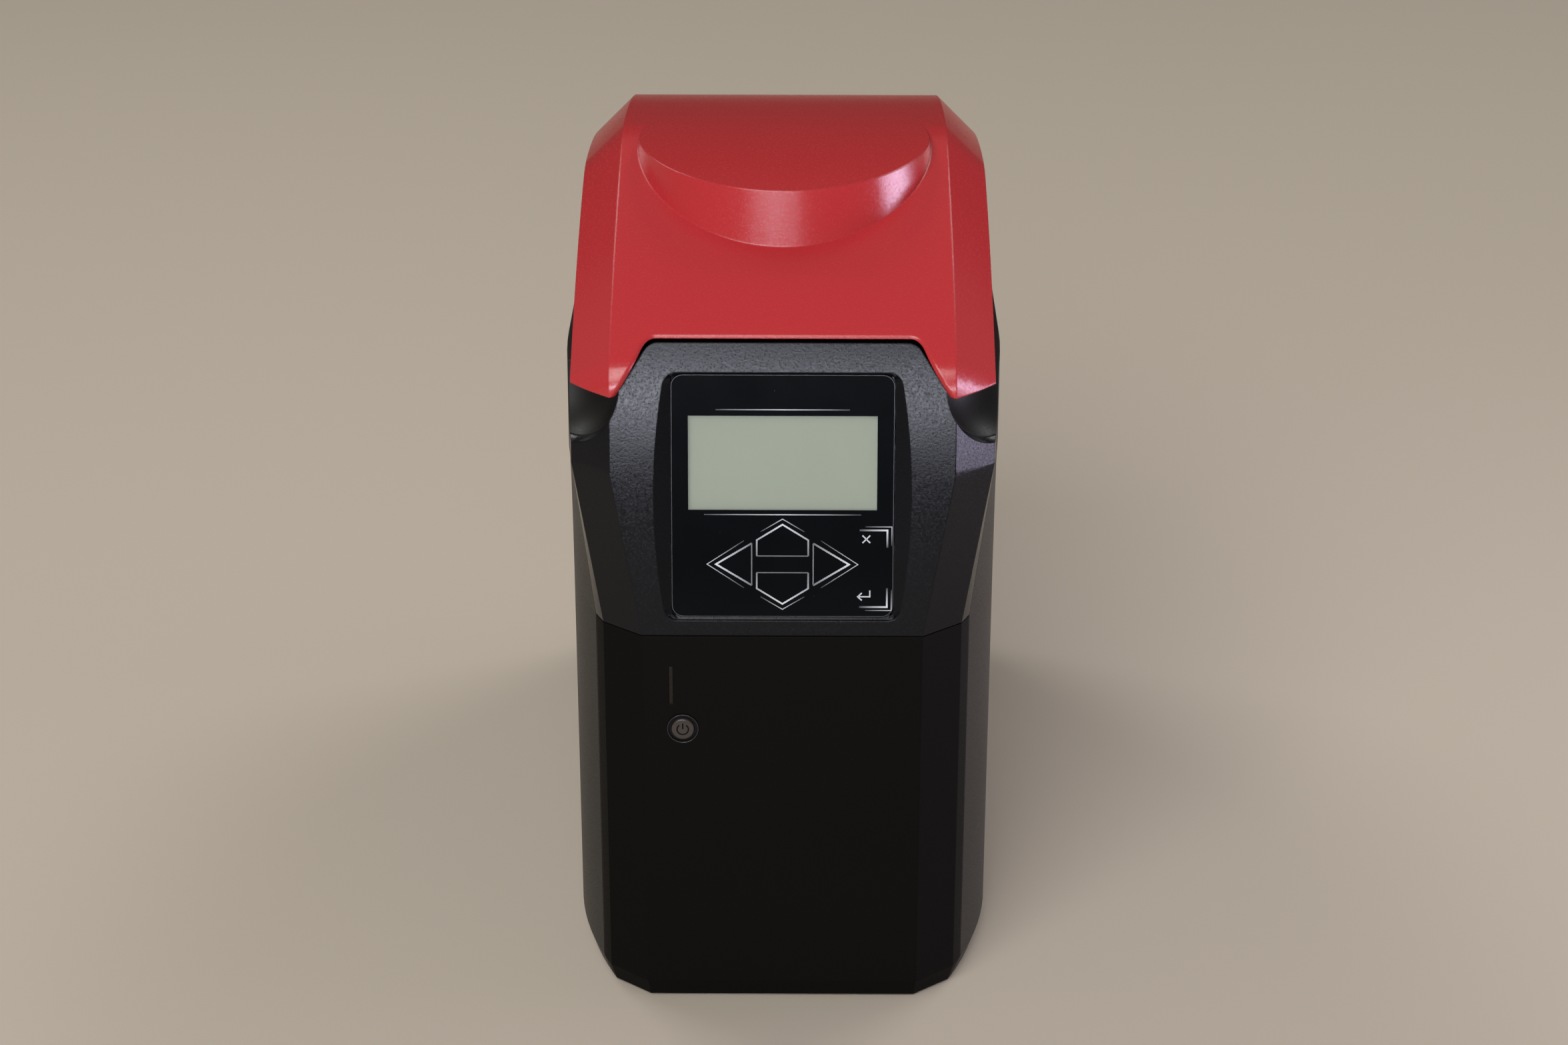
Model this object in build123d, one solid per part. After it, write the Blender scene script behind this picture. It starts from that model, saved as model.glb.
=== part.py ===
from build123d import *
import math
import os

os.makedirs("parts", exist_ok=True)

# A bench mill for small sample tubes. A red lid covers a round chamber, where
# a holder full of tubes is driven up and down by a crank in the body below.
# Millimetres. X is the width, the front faces -Y, Z is up, and the origin is
# on the bench under the middle of the body.

# ---------------------------------------------------------------- body sizes
body_width = 150.0
body_depth = 300.0
deck_height = 228.0          # top of the body, where the lid closes
foot_height = 0.8            # gap under the body
base_rise = 4.6              # base plate above the body's lower edge
wall = 2.5                   # side and rear walls
panel_wall = 3.2             # front panels
plate = 3.0                  # base plate and deck
ledge_thick = 3.0            # rim inside the body that the deck lies on
ledge_width = 2.5
touch = 0.15                 # gap between covers that butt
fit = 0.02                   # radial gap of a seat
running = 0.05               # radial gap of a running fit
screw_radius = 2.8           # pan heads of the deck's and the back's screws
screw_head = 1.8
foot_radius = 9.0
foot_screw_radius = 3.2
foot_screw_head = 2.4

front_in = 27.4              # from the side to the flat of the lower front panel
facet_run = 13.8             # bevel beside it, across
facet_depth = 11.0           # bevel beside it, back
side_swell = 60.0            # length over which the sides swell to full width
rear_taper = 7.0
rear_swell = 90.0            # length over which the back narrows
rear_corner = 10.0
bottom_bevel = 2.2
bottom_rise = 6.5            # height of the bevel round the bottom
seam_height = 144.0          # seam between the lower and the display panel
seam_gap = 0.4
display_lean = 11.0          # degrees that the display panel leans back
facet_spread = 10.4          # how far its creases spread up to the hood
hood_height = 199.0          # the hood is full width from here up

# ----------------------------------------------------------------- lid sizes
lid_gap = 1.2
strip_gap = 0.25             # left between the closed lid and its rubber strips
lid_rise = 57.8              # lid top above its rim
lid_wall = 3.0
lid_front = 4.4              # lid tips behind the front of the body
lid_rear = 24.0              # lid's rear wall in front of the back
lid_in = 3.8                 # lid's sides inside the body's
lid_facet = 13.8             # width of the lid's side bevels
lid_bevel = 13.5             # drop of the side bevel
lid_tip_bevel = 11.1
lid_tip_depth = 18.6         # solid lip behind the tips
lid_nose = 14.0              # radius where the slope turns down to the tips
top_radius = 380.0
blend_radius = 60.0
slope_radius = 347.0
tail_radius = 150.0
top_apex = 105.0             # highest line of the lid behind the front
slope_angle = 16.0
blend_angle = 3.0
tail_run = 41.03             # length of the lid's steeper tail
dome_over = 1.9              # top of the dome, wider than the chamber
dome_draft = 8.6
dome_drop = 54.0
cup_gap = 1.6                # quietening cup inside the dome's wall
cup_wall = 1.5
cup_clear = 0.3              # above the cup, under the dome's crown
arch_half = 45.4             # arch in the lid over the display panel
arch_rise = 15.7
arch_foot = 55.4
arch_round = 5.5
arch_gap = 1.8
knuckle_in = 35.0            # lid knuckles, from the middle
knuckle_out = 49.0
knuckle_radius = 5.5
hinge_pin_radius = 2.5
ear_thick = 3.7
side_play = 0.3

# ------------------------------------------------------------- display sizes
bay_low = 5.6                # recess for the keypad, along the leaning panel
bay_high = 91.0
bay_end_half = 39.6
bay_mid_half = 43.4
bay_deep = 1.4
bay_round = 5.0
pad_half = 37.6
pad_low = 6.6
pad_high = 90.2
pad_thick = 0.8
window_half = 31.8
window_low = 43.8
window_high = 76.1
module_margin = 3.0
module_thick = 5.0
board_thick = 1.6
board_high = 80.0
scoop_radius = 23.0          # finger scoops under the lid's corners
scoop_wall = 2.2
scoop_out = 2.5
scoop_back = 20.0

# -------------------------------------------------------------- power button
button_x = -34.2
button_z = 108.7
cap_radius = 3.9
cap_gap = 0.15
cap_proud = 0.9
cap_travel = 1.2
cap_length = 4.0             # behind the panel's face
stem_radius = 1.6
stem_end = 8.0
spring_wire = 0.25
spring_turns = 4
ring_radius = 5.35
ring_proud = 0.4
ring_rim = 0.45
ring_groove = 0.7            # step down inside the ring's rim
light_x = -38.1
light_z = 125.2
light_width = 1.3
light_height = 14.4

# -------------------------------------------------------------- drive sizes
chamber_back = 108.0         # chamber axis behind the front
chamber_radius = 49.0
chamber_deep = 50.0
liner_wall = 1.2
liner_round = 4.0
gasket_thick = 1.8
flange_width = 6.0
crank_height = 62.0
throw = 4.0
pin_radius = 3.5
journal_radius = 5.0
bearing_radius = 11.0
bearing_width = 8.0
rod_length = 46.0
rod_width = 10.0
rod_bore = 12.0              # big end, open around the crank pin
rod_rim = 3.5
wrist_radius = 3.0
guide_radius = 4.0
guide_spread = 30.0
bush_radius = 7.5
bridge_rise = 86.0           # guide bridge above the crank
shaft_radius = 6.0
seal_radius = 12.0
pulley_radius = 20.0
motor_pulley_radius = 12.0
crank_teeth = 40
motor_teeth = 24
pulley_hole_circle = 12.5
belt_width = 8.0
belt_thick = 1.6
motor_rise = 68.0            # motor axis above the crank
motor_radius = 27.0
motor_length = 68.0
boss_radius = 11.0
motor_shaft_radius = 4.0
isolator_radius = 7.0
isolator_height = 9.0

# ------------------------------------------------------------- sample holder
holder_gap = 7.0             # between the holder and the chamber's wall
holder_thick = 28.0
tube_count = 12
tube_edge = 11.0             # from the holder's edge to the tubes' axes
tube_radius = 5.4
tube_hole_gap = 0.2
tube_tip = 4.0               # height of the tube's tapered end
tube_tip_in = 2.5
tube_length = 40.0
cap_over = 0.9
cap_height = 9.0
clamp_thick = 3.0
clamp_lap = 0.7              # clamp disc past the caps
knob_radius = 15.0
knob_height = 17.0
knob_grips = 10
grip_radius = 3.0
stud_radius = 4.0
hub_radius = 9.0

# -------------------------------------------------------------- back and fan
panel_half = 54.0
panel_low = 22.0
panel_high = 206.0
panel_lap = 4.0
panel_thick = 1.6
fan_height = 150.0
fan_half = 30.0
fan_thick = 15.0
fan_bore = 28.0
fan_hub = 12.0
fan_post = 2.0
fan_arm = 2.5
slat_pitch = 7.0             # bars of the grille
slat_gap = 3.6
blade_count = 7
inlet_height = 46.0
inlet_half = 14.0
inlet_tall = 10.5
inlet_deep = 22.0
inlet_rim = 5.0              # flange outside the panel, at the sides
inlet_rim_tall = 4.0
inlet_rim_thick = 2.5
socket_half = 12.0
socket_tall = 8.2
socket_deep = 16.0

# ------------------------------------------------------------ derived places
front = -(body_depth - cap_proud) / 2
rear = front + body_depth
half = body_width / 2
front_half = half - front_in
lid_half = half - lid_in
lid_crease = lid_half - lid_facet
deck_low = deck_height - plate
lid_low = deck_height + lid_gap
lid_top = lid_low + lid_rise
lip_top = lid_low + arch_rise
tip_y = front + lid_front
lip_back = tip_y + lid_tip_depth
chamber_y = front + chamber_back
flange_radius = chamber_radius + flange_width
dome_radius = chamber_radius + dome_over
holder_radius = chamber_radius - holder_gap
tube_circle = holder_radius - tube_edge
clamp_radius = tube_circle + tube_radius + cap_over + clamp_lap
floor_z = deck_height - chamber_deep
base_low = foot_height + base_rise
base_top = base_low + plate
lean = math.radians(display_lean)
facet_turn = math.atan2(facet_depth, facet_run)
hinge_y = rear - lid_rear + 7.0
hinge_z = deck_height + 6.5
ear_low = knuckle_in - side_play - ear_thick
ear_high = knuckle_out + side_play + ear_thick


def block(x0, x1, y0, y1, z0, z1):
    """Box between two corners."""
    low = (Align.MIN, Align.MIN, Align.MIN)
    return Pos(x0, y0, z0) * Box(x1 - x0, y1 - y0, z1 - z0, align=low)


def bar_z(radius, z0, z1, x=0.0, y=0.0):
    """Round bar along Z."""
    return Pos(x, y, (z0 + z1) / 2) * Cylinder(radius, z1 - z0)


def bar_y(radius, y0, y1, x=0.0, z=0.0):
    """Round bar along Y."""
    return Pos(x, (y0 + y1) / 2, z) * Rot(90, 0, 0) * Cylinder(radius, y1 - y0)


def bar_x(radius, x0, x1, y=0.0, z=0.0):
    """Round bar along X."""
    return Pos((x0 + x1) / 2, y, z) * Rot(0, 90, 0) * Cylinder(radius, x1 - x0)


def both_sides(shape):
    """A shape and its mirror image across the middle plane."""
    return shape + mirror(shape, Plane.YZ)


def swell_radius(run, length):
    """Radius of an arc that leaves a straight side and drifts in by run."""
    return (run * run + length * length) / (2 * run)


# ---------------------------------------------------------------- body form
def form_levels():
    """Heights where the front changes slope, with its spread and its lean."""
    rise = hood_height - seam_height
    levels = [(foot_height, 0.0, 0.0), (seam_height, 0.0, 0.0)]
    levels.append((hood_height, facet_spread, rise * math.tan(lean)))
    levels.append((lip_top, facet_spread, (lip_top - seam_height) * math.tan(lean)))
    return levels


def rear_half_edges(inset):
    """Right side edges from the swelling to the back, moved in by inset."""
    lee = rear - rear_swell
    drift = swell_radius(rear_taper, rear_swell)
    reach = rear_swell - rear_corner
    centre = (half - drift, lee)
    corner = (centre[0] + math.sqrt((drift - rear_corner) ** 2 - reach ** 2), rear - rear_corner)
    scale = (drift - inset) / (drift - rear_corner)
    meet = (centre[0] + (corner[0] - centre[0]) * scale, centre[1] + reach * scale)
    side = half - inset
    shoulder = front + facet_depth + side_swell
    end = (corner[0], rear - inset)
    edges = [Line((side, shoulder), (side, lee))]
    edges.append(RadiusArc((side, lee), meet, inset - drift))
    edges.append(RadiusArc(meet, end, inset - rear_corner))
    edges.append(Line(end, (0, rear - inset)))
    return edges


def whole_face(right):
    """Face between right side edges and their mirror images."""
    return make_face(right + [mirror(edge, Plane.YZ) for edge in right])


def body_outline(spread, back):
    """Plan of the body: bevelled front corners and swelling sides."""
    near = front + back
    outer = front_half + facet_run + spread
    bend = near + facet_depth
    shoulder = front + facet_depth + side_swell
    right = [Line((0, near), (front_half + spread, near))]
    right.append(Line((front_half + spread, near), (outer, bend)))
    right.append(RadiusArc((outer, bend), (half, shoulder), -swell_radius(half - outer, shoulder - bend)))
    return whole_face(right + rear_half_edges(0))


def body_bulk():
    """The whole body as one form, up to the top of the display panel's lip."""
    levels = form_levels()
    solid = Pos(0, 0, foot_height) * extrude(body_outline(0.0, 0.0), seam_height - foot_height)
    under = solid.faces().sort_by(Axis.Z)[0]
    solid = chamfer(under.edges(), bottom_bevel, bottom_rise, reference=under)
    for (low, spread, back), (high, next_spread, next_back) in zip(levels[1:], levels[2:]):
        lower = Pos(0, 0, low) * body_outline(spread, back)
        upper = Pos(0, 0, high) * body_outline(next_spread, next_back)
        solid = solid + loft([lower, upper], ruled=True)
    return solid


def behind_front(inset):
    """The space behind the front surfaces moved in by inset."""
    reach = 200.0
    across = reach * math.cos(facet_turn)
    along = reach * math.sin(facet_turn)
    levels = form_levels()
    levels[0] = (foot_height - 10.0, 0.0, 0.0)
    levels[-1] = (lip_top + 10.0, facet_spread, (lip_top + 10.0 - seam_height) * math.tan(lean))
    faces = []
    for height, spread, back in levels:
        near = front + back + inset
        crease = front_half + spread - inset * math.tan(facet_turn / 2)
        right = [(crease, near), (crease + across, near + along), (crease + across, reach * 2)]
        left = [(-x, y) for x, y in reversed(right)]
        faces.append(Pos(0, 0, height) * make_face(Polyline(right + left, close=True)))
    solid = loft(faces[:2], ruled=True)
    for low, high in zip(faces[1:], faces[2:]):
        solid = solid + loft([low, high], ruled=True)
    return solid


def body_inside(inset, low, high):
    """Upright space within the sides and back, moved in by inset."""
    shoulder = front + facet_depth + side_swell
    swell = swell_radius(half - front_half - facet_run, side_swell)
    lift = math.sqrt(swell ** 2 - side_swell ** 2) * (swell - inset) / swell
    start = (half - swell + lift, shoulder - side_swell * (swell - inset) / swell)
    right = [Line((0, front - 20.0), (start[0], front - 20.0))]
    right.append(Line((start[0], front - 20.0), start))
    right.append(RadiusArc(start, (half - inset, shoulder), inset - swell))
    face = whole_face(right + rear_half_edges(inset))
    return Pos(0, 0, low) * extrude(face, high - low)


scoop_places = [(side * (half + scoop_out), front + scoop_back, deck_height) for side in (-1, 1)]
scoops = [Pos(*place) * Sphere(scoop_radius) for place in scoop_places]
scoop_walls = [Pos(*place) * Sphere(scoop_radius + scoop_wall) for place in scoop_places]

bulk = body_bulk()
core = bulk & behind_front(panel_wall)
skin = bulk - core
below_deck = block(-half - 5, half + 5, front - 5, rear + 5, 0, deck_height)


def within(shape, spaces):
    """The parts of a shape that lie in any of some spaces."""
    kept = shape & spaces[0]
    for space in spaces[1:]:
        kept = kept + (shape & space)
    return kept


def without(shape, spaces):
    """A shape with several spaces cut out."""
    for space in spaces:
        shape = shape - space
    return shape


def main_housing():
    """Sides and back in one moulding, open at the front, top and bottom."""
    body = (bulk & behind_front(panel_wall + touch)) & below_deck
    shell = body - body_inside(wall, foot_height - 1, deck_height + 1)
    shell = shell + within(body, scoop_walls)
    shell = without(shell, scoops)
    ledge = body_inside(wall, deck_low - ledge_thick, deck_low)
    ledge = ledge - body_inside(wall + ledge_width, deck_low - 5.0, deck_height)
    ledge = ledge & behind_front(panel_wall + 8.0)
    shell = shell + without(ledge, scoops)
    return shell - block(-panel_half, panel_half, rear - 20, rear + 1, panel_low, panel_high)


def lower_front_panel():
    """Plain panel with bevelled edges, a button hole and a slot for a light."""
    panel = skin - block(-200, 200, front - 5, rear, seam_height - seam_gap / 2, lip_top + 5)
    panel = panel - bar_y(ring_radius + fit, front - 5, front + 20, button_x, button_z)
    slot = Pos(light_x, front, light_z) * Box(light_width, 20, light_height)
    return panel - slot


def panel_place():
    """Plane of the leaning display panel, with its origin on the seam."""
    return Plane(origin=(0, front, seam_height), x_dir=(1, 0, 0), z_dir=(0, -math.cos(lean), math.sin(lean)))


def on_panel(half_width, low, high, depth, top=0.0, round_off=0.0):
    """A rectangular slab in the display panel, from top down by depth."""
    face = Pos(0, (low + high) / 2) * Rectangle(2 * half_width, high - low)
    if round_off > 0:
        face = fillet(face.vertices(), round_off)
    slab = extrude(face, -depth)
    return panel_place() * (Pos(0, 0, -top) * slab)


def keypad_bay():
    """Barrel shaped recess, wider at its middle, with round corners."""
    middle = (bay_low + bay_high) / 2
    left = ThreePointArc((-bay_end_half, bay_low), (-bay_mid_half, middle), (-bay_end_half, bay_high))
    right = ThreePointArc((bay_end_half, bay_low), (bay_mid_half, middle), (bay_end_half, bay_high))
    ends = [Line((-bay_end_half, v), (bay_end_half, v)) for v in (bay_low, bay_high)]
    face = make_face([left, right] + ends)
    face = fillet(face.vertices(), bay_round)
    return panel_place() * extrude(face, bay_deep, both=True)


def arch_prism(drop):
    """Arched window through the lid's front, lowered by drop for the panel."""
    top = lip_top - drop
    low = deck_height - 2.0
    slope = (arch_foot - arch_half) / arch_rise
    foot = arch_half + slope * (lip_top - low) - drop
    flat = arch_half - drop * 0.4
    points = [(-foot, low), (-flat, top), (flat, top), (foot, low)]
    face = make_face(Polyline(points, close=True))
    upper = [v for v in face.vertices() if v.Y > top - 1]
    face = fillet(upper, arch_round)
    return Plane.XZ * extrude(face, 400, both=True)


def display_bezel():
    """Leaning front moulding: facets, keypad bay and a lip up into the lid."""
    panel = skin - block(-200, 200, front - 5, rear, 0, seam_height + seam_gap / 2)
    panel = panel + (within(bulk, scoop_walls) - core)
    panel = panel & (below_deck + arch_prism(arch_gap))
    panel = without(panel, scoops)
    panel = panel - keypad_bay()
    return panel - on_panel(window_half + 1.0, window_low - 1.0, window_high + 1.0, 20, -5)


def base_plate():
    """Folded steel base with air slots under the drive."""
    shape = body_inside(wall + touch, base_low, base_top) & behind_front(panel_wall + touch)
    for step in range(5):
        shape = shape - block(-24, 24, 50.0 + 12 * step, 54.0 + 12 * step, 0, 20)
    return shape


foot_places = [(x, y) for x in (-46.0, 46.0) for y in (front + 30.0, rear - 30.0)]


def rubber_feet():
    """Four round feet with a step where they meet the base plate."""
    feet = []
    for x, y in foot_places:
        foot = bar_z(foot_radius, 0, base_low, x, y)
        feet.append(chamfer(foot.faces().sort_by(Axis.Z)[0].edges(), 0.6))
    return Compound(feet)


def foot_screws():
    """Screws that hold the feet, with their nuts inside the base."""
    return Compound([bar_z(foot_screw_radius, base_top, base_top + foot_screw_head, x, y)
                     for x, y in foot_places])


keep = {}
keep["main_housing"] = main_housing()
keep["lower_front_panel"] = lower_front_panel()
keep["display_bezel"] = display_bezel()
keep["base_plate"] = base_plate()
keep["rubber_feet"] = rubber_feet()
keep["foot_screws"] = foot_screws()

# ------------------------------------------------------- display and keypad
pad = on_panel(pad_half, pad_low, pad_high, pad_thick, bay_deep - pad_thick, 4.0)
glass = on_panel(window_half, window_low, window_high, pad_thick, bay_deep - pad_thick)
keep["keypad_membrane"] = pad - glass
keep["display_window"] = on_panel(window_half - fit, window_low + fit, window_high - fit, pad_thick,
                                  bay_deep - pad_thick)


def lcd_module():
    """Metal framed display that looks through the bezel's window."""
    low = window_low - module_margin
    high = window_high + module_margin
    return on_panel(window_half + module_margin, low, high, module_thick, panel_wall)


def display_board():
    """Circuit board behind the display and the keys, on four pillars."""
    depth = panel_wall + module_thick
    board = on_panel(pad_half, pad_low + 2.0, board_high, board_thick, depth)
    middle = -panel_wall - module_thick / 2
    for x in (-pad_half + 3.0, pad_half - 3.0):
        for v in (pad_low + 6.0, window_low - module_margin - 4.0):
            board = board + panel_place() * (Pos(x, v, middle) * Cylinder(2.2, module_thick))
    chips = Compound([
        on_panel(6.0, pad_low + 12.0, pad_low + 24.0, 2.0, depth + board_thick),
        on_panel(14.0, pad_low + 32.0, pad_low + 37.0, 4.0, depth + board_thick)])
    return board + chips


keep["lcd_module"] = lcd_module()
keep["display_board"] = display_board()


# ------------------------------------------------------------- power button
def power_button():
    """Round cap with a flange behind the ring and a stem for its switch."""
    cap = bar_y(cap_radius, front - cap_proud, front + cap_length, button_x, button_z)
    cap = fillet(cap.faces().sort_by(Axis.Y)[0].edges(), 0.5)
    return cap + bar_y(stem_radius, front + cap_length, front + stem_end, button_x, button_z)


def power_button_ring():
    """Metal ring pressed into the panel around the cap."""
    inner = front + panel_wall
    ring = bar_y(ring_radius, front - ring_proud, inner + 1.5, button_x, button_z)
    ring = ring + bar_y(ring_radius + 1.5, inner, inner + 1.5, button_x, button_z)
    ring = fillet(ring.faces().sort_by(Axis.Y)[0].edges(), 0.25)
    step = front - ring_proud + ring_groove
    ring = ring - bar_y(ring_radius - ring_rim, front - 5, step, button_x, button_z)
    return ring - bar_y(cap_radius + cap_gap, front - 5, front + 20, button_x, button_z)


switch_front = front + stem_end + cap_travel + 0.6


def button_switch():
    """Small push switch on its own bracket behind the front panel."""
    back = switch_front + 6.0
    body = block(button_x - 6, button_x + 6, switch_front, back, button_z - 6, button_z + 6)
    board = block(button_x - 10, button_x + 10, back, back + board_thick, button_z - 16, button_z + 12)
    for side in (-1, 1):
        board = board + bar_y(1.6, front + panel_wall, back, button_x + 7.5 * side, button_z - 12.5)
    return body + board


def button_spring():
    """Return spring of the cap, around its stem."""
    start = front + cap_length + spring_wire + touch
    end = switch_front - spring_wire - touch
    path = Helix(pitch=(end - start) / spring_turns, height=end - start, radius=2.5)
    wire = Plane(origin=path @ 0, z_dir=path % 0) * Circle(spring_wire)
    coil = sweep(wire, path=path)
    return Pos(button_x, start, button_z) * Rot(-90, 0, 0) * coil


def light_guide():
    """Clear bar that lights up in the slot over the button."""
    bar = block(light_x - light_width / 2 + fit, light_x + light_width / 2 - fit, front + 0.2,
                front + panel_wall + 1.0, light_z - light_height / 2 + fit, light_z + light_height / 2 - fit)
    back = block(light_x - 2.0, light_x + 2.0, front + panel_wall, front + panel_wall + 2.0,
                 light_z - light_height / 2 - 1.5, light_z + light_height / 2 + 1.5)
    return bar + back


keep["power_button"] = power_button()
keep["power_button_ring"] = power_button_ring()
keep["button_switch"] = button_switch()
keep["button_spring"] = button_spring()
keep["light_guide"] = light_guide()


# --------------------------------------------------------------------- deck
tab_y = front + 30.0
tab_half = 5.0
tab_thick = 3.0
tab_reach = 7.0


def deck_plate():
    """Top of the body under the lid, with the chamber's hole."""
    deck = body_inside(wall + touch, deck_low, deck_height) & behind_front(panel_wall + 2 * touch)
    deck = without(deck, [Pos(*place) * Sphere(scoop_radius + scoop_wall + touch) for place in scoop_places])
    deck = deck - bar_z(chamber_radius + liner_wall + 0.3, deck_low - 5, deck_height + 5, 0, chamber_y)
    slot_half = tab_half + 1.5
    return deck - block(-slot_half, slot_half, tab_y - 2.5, tab_y + 2.5, deck_low - 5, deck_height + 5)


def chamber_liner():
    """Drawn steel cup with a rolled flange on the deck."""
    outer = bar_z(chamber_radius + liner_wall, floor_z - liner_wall, deck_height, 0, chamber_y)
    outer = fillet(outer.faces().sort_by(Axis.Z)[0].edges(), liner_round + liner_wall)
    outer = outer + bar_z(flange_radius, deck_height, deck_height + liner_wall, 0, chamber_y)
    inner = bar_z(chamber_radius, floor_z, deck_height + 5, 0, chamber_y)
    inner = fillet(inner.faces().sort_by(Axis.Z)[0].edges(), liner_round)
    return outer - inner - bar_z(seal_radius + fit, floor_z - 5, floor_z + 5, 0, chamber_y)


def chamber_gasket():
    """Rubber ring on the flange that the lid's liner closes on."""
    low = deck_height + liner_wall
    ring = bar_z(flange_radius - 1.0, low, low + gasket_thick, 0, chamber_y)
    return ring - bar_z(chamber_radius + 0.5, low - 1, low + 5, 0, chamber_y)


def shaft_seal():
    """Sliding bush and lip seal where the holder shaft enters the chamber."""
    low = floor_z - 9.0
    bush = bar_z(seal_radius, low, floor_z, 0, chamber_y)
    bush = bush + bar_z(seal_radius + 4.0, floor_z, floor_z + 2.0, 0, chamber_y)
    return bush - bar_z(shaft_radius + running, low - 5, floor_z + 9, 0, chamber_y)


def seal_strips():
    """Rubber strips on the deck that the lid's rim rests over."""
    low = lid_half - lid_wall
    top = lid_low - strip_gap
    side = block(low + 0.2, lid_half - 0.3, front + 56.0, rear - lid_rear - 16.0, deck_height, top)
    back = block(-lid_crease + 8, lid_crease - 8, rear - lid_rear - lid_wall + 0.2, rear - lid_rear - 0.3,
                 deck_height, top)
    return Compound([side, mirror(side, Plane.YZ), back])


screw_places = [(x, y) for x in (-60.0, 60.0) for y in (front + 62.0, rear - 60.0)]


def deck_screws():
    """Pan head screws that hold the deck to the body."""
    heads = []
    for x, y in screw_places:
        head = bar_z(screw_radius, deck_height, deck_height + screw_head, x, y)
        head = fillet(head.faces().sort_by(Axis.Z)[-1].edges(), 0.8)
        heads.append(head - Pos(x, y, deck_height + 1.6) * Box(3.2, 0.7, 1.0))
    return Compound(heads)


keep["deck_plate"] = deck_plate()
keep["chamber_liner"] = chamber_liner()
keep["chamber_gasket"] = chamber_gasket()
keep["shaft_seal"] = shaft_seal()
keep["seal_strips"] = seal_strips()
keep["deck_screws"] = deck_screws()


# ---------------------------------------------------------------------- lid
def circle_point(centre, radius, turn):
    """Point of a circle at an angle from straight up, positive to the rear."""
    return (centre[0] + radius * math.sin(turn), centre[1] + radius * math.cos(turn))


def next_centre(centre, radius, new_radius, turn):
    """Centre of a circle that goes on smoothly from another at an angle."""
    return circle_point(centre, radius - new_radius, turn)


top_centre = (front + top_apex, lid_top - top_radius)
tail_turn = math.asin((rear - lid_rear - tail_run - top_centre[0]) / top_radius)
blend_centre = next_centre(top_centre, top_radius, blend_radius, math.radians(blend_angle))
slope_centre = next_centre(blend_centre, blend_radius, slope_radius, -math.radians(slope_angle))
tail_centre = next_centre(top_centre, top_radius, tail_radius, tail_turn)


def arc_between(centre, radius, start, end):
    """Arc of a circle between two angles."""
    return ThreePointArc(circle_point(centre, radius, start),
                         circle_point(centre, radius, (start + end) / 2),
                         circle_point(centre, radius, end))


def lid_section(x, inset, tip, tail):
    """Side outline of the lid at one width: slope, crest, top and tail."""
    low = deck_height - 12.0
    reach = slope_radius - inset
    nose = lid_nose - min(inset, lid_wall)
    nose_y = tip + nose
    slope_low = math.asin((nose_y - slope_centre[0]) / (reach - nose))
    nose_centre = circle_point(slope_centre, reach - nose, slope_low)
    tail_low = math.asin((tail - tail_centre[0]) / (tail_radius - inset))
    slope_top = -math.radians(slope_angle)
    crest = math.radians(blend_angle)
    edges = [arc_between(nose_centre, nose, -math.pi / 2, slope_low),
             arc_between(slope_centre, reach, slope_low, slope_top),
             arc_between(blend_centre, blend_radius - inset, slope_top, crest),
             arc_between(top_centre, top_radius - inset, crest, tail_turn),
             arc_between(tail_centre, tail_radius - inset, tail_turn, tail_low)]
    start = circle_point(nose_centre, nose, -math.pi / 2)
    end = circle_point(tail_centre, tail_radius - inset, tail_low)
    edges.append(Line((tip, low), start))
    edges.append(Line(end, (tail, low)))
    edges.append(Line((tail, low), (tip, low)))
    return Plane.YZ.offset(x) * make_face(edges)


def lid_block(inset, tip, bevel_tip):
    """The lid's form, moved in by inset: middle, bevelled sides and dome."""
    fall = lid_bevel / (lid_half - lid_crease)
    crease = lid_crease - inset * 0.41
    side = lid_half - inset
    side_inset = inset + (side - crease) * fall
    tail = rear - lid_rear - inset
    middle = lid_section(-crease, inset, tip, tail)
    solid = extrude(middle, 2 * crease, dir=(1, 0, 0))
    near = lid_section(crease, inset, tip, tail)
    far = lid_section(side, side_inset, bevel_tip, tail - lid_bevel)
    solid = solid + both_sides(loft([near, far], ruled=True))
    top_r = dome_radius - inset
    low_r = top_r + dome_drop * math.tan(math.radians(dome_draft))
    peak = lid_top + 1.0
    cone = Pos(0, chamber_y, peak - dome_drop / 2) * Cone(low_r, top_r, dome_drop)
    cap = Pos(0, top_centre[0], top_centre[1]) * Rot(0, 90, 0) * Cylinder(top_radius - inset, 160)
    return solid + (cone & cap)


def lid_shell():
    """Red lid: a moulded shell with an arch over the display and knuckles."""
    outer = lid_block(0, tip_y, tip_y + lid_tip_bevel)
    inner = lid_block(lid_wall, lip_back, lip_back)
    shell = outer - inner
    shell = shell - block(-200, 200, -400, 400, 0, lid_low)
    shell = shell - (arch_prism(0) & block(-100, 100, front - 50, lip_back + 2.0, 0, lid_top))
    barrel = bar_x(knuckle_radius, knuckle_in, knuckle_out, hinge_y, hinge_z)
    back = rear - lid_rear - lid_wall
    web = block(knuckle_in, knuckle_out, back, hinge_y, lid_low, hinge_z + knuckle_radius)
    shell = shell + both_sides(barrel + web)
    bore = bar_x(hinge_pin_radius + running, knuckle_in - 5, knuckle_out + 5, hinge_y, hinge_z)
    return shell - both_sides(bore)


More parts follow.
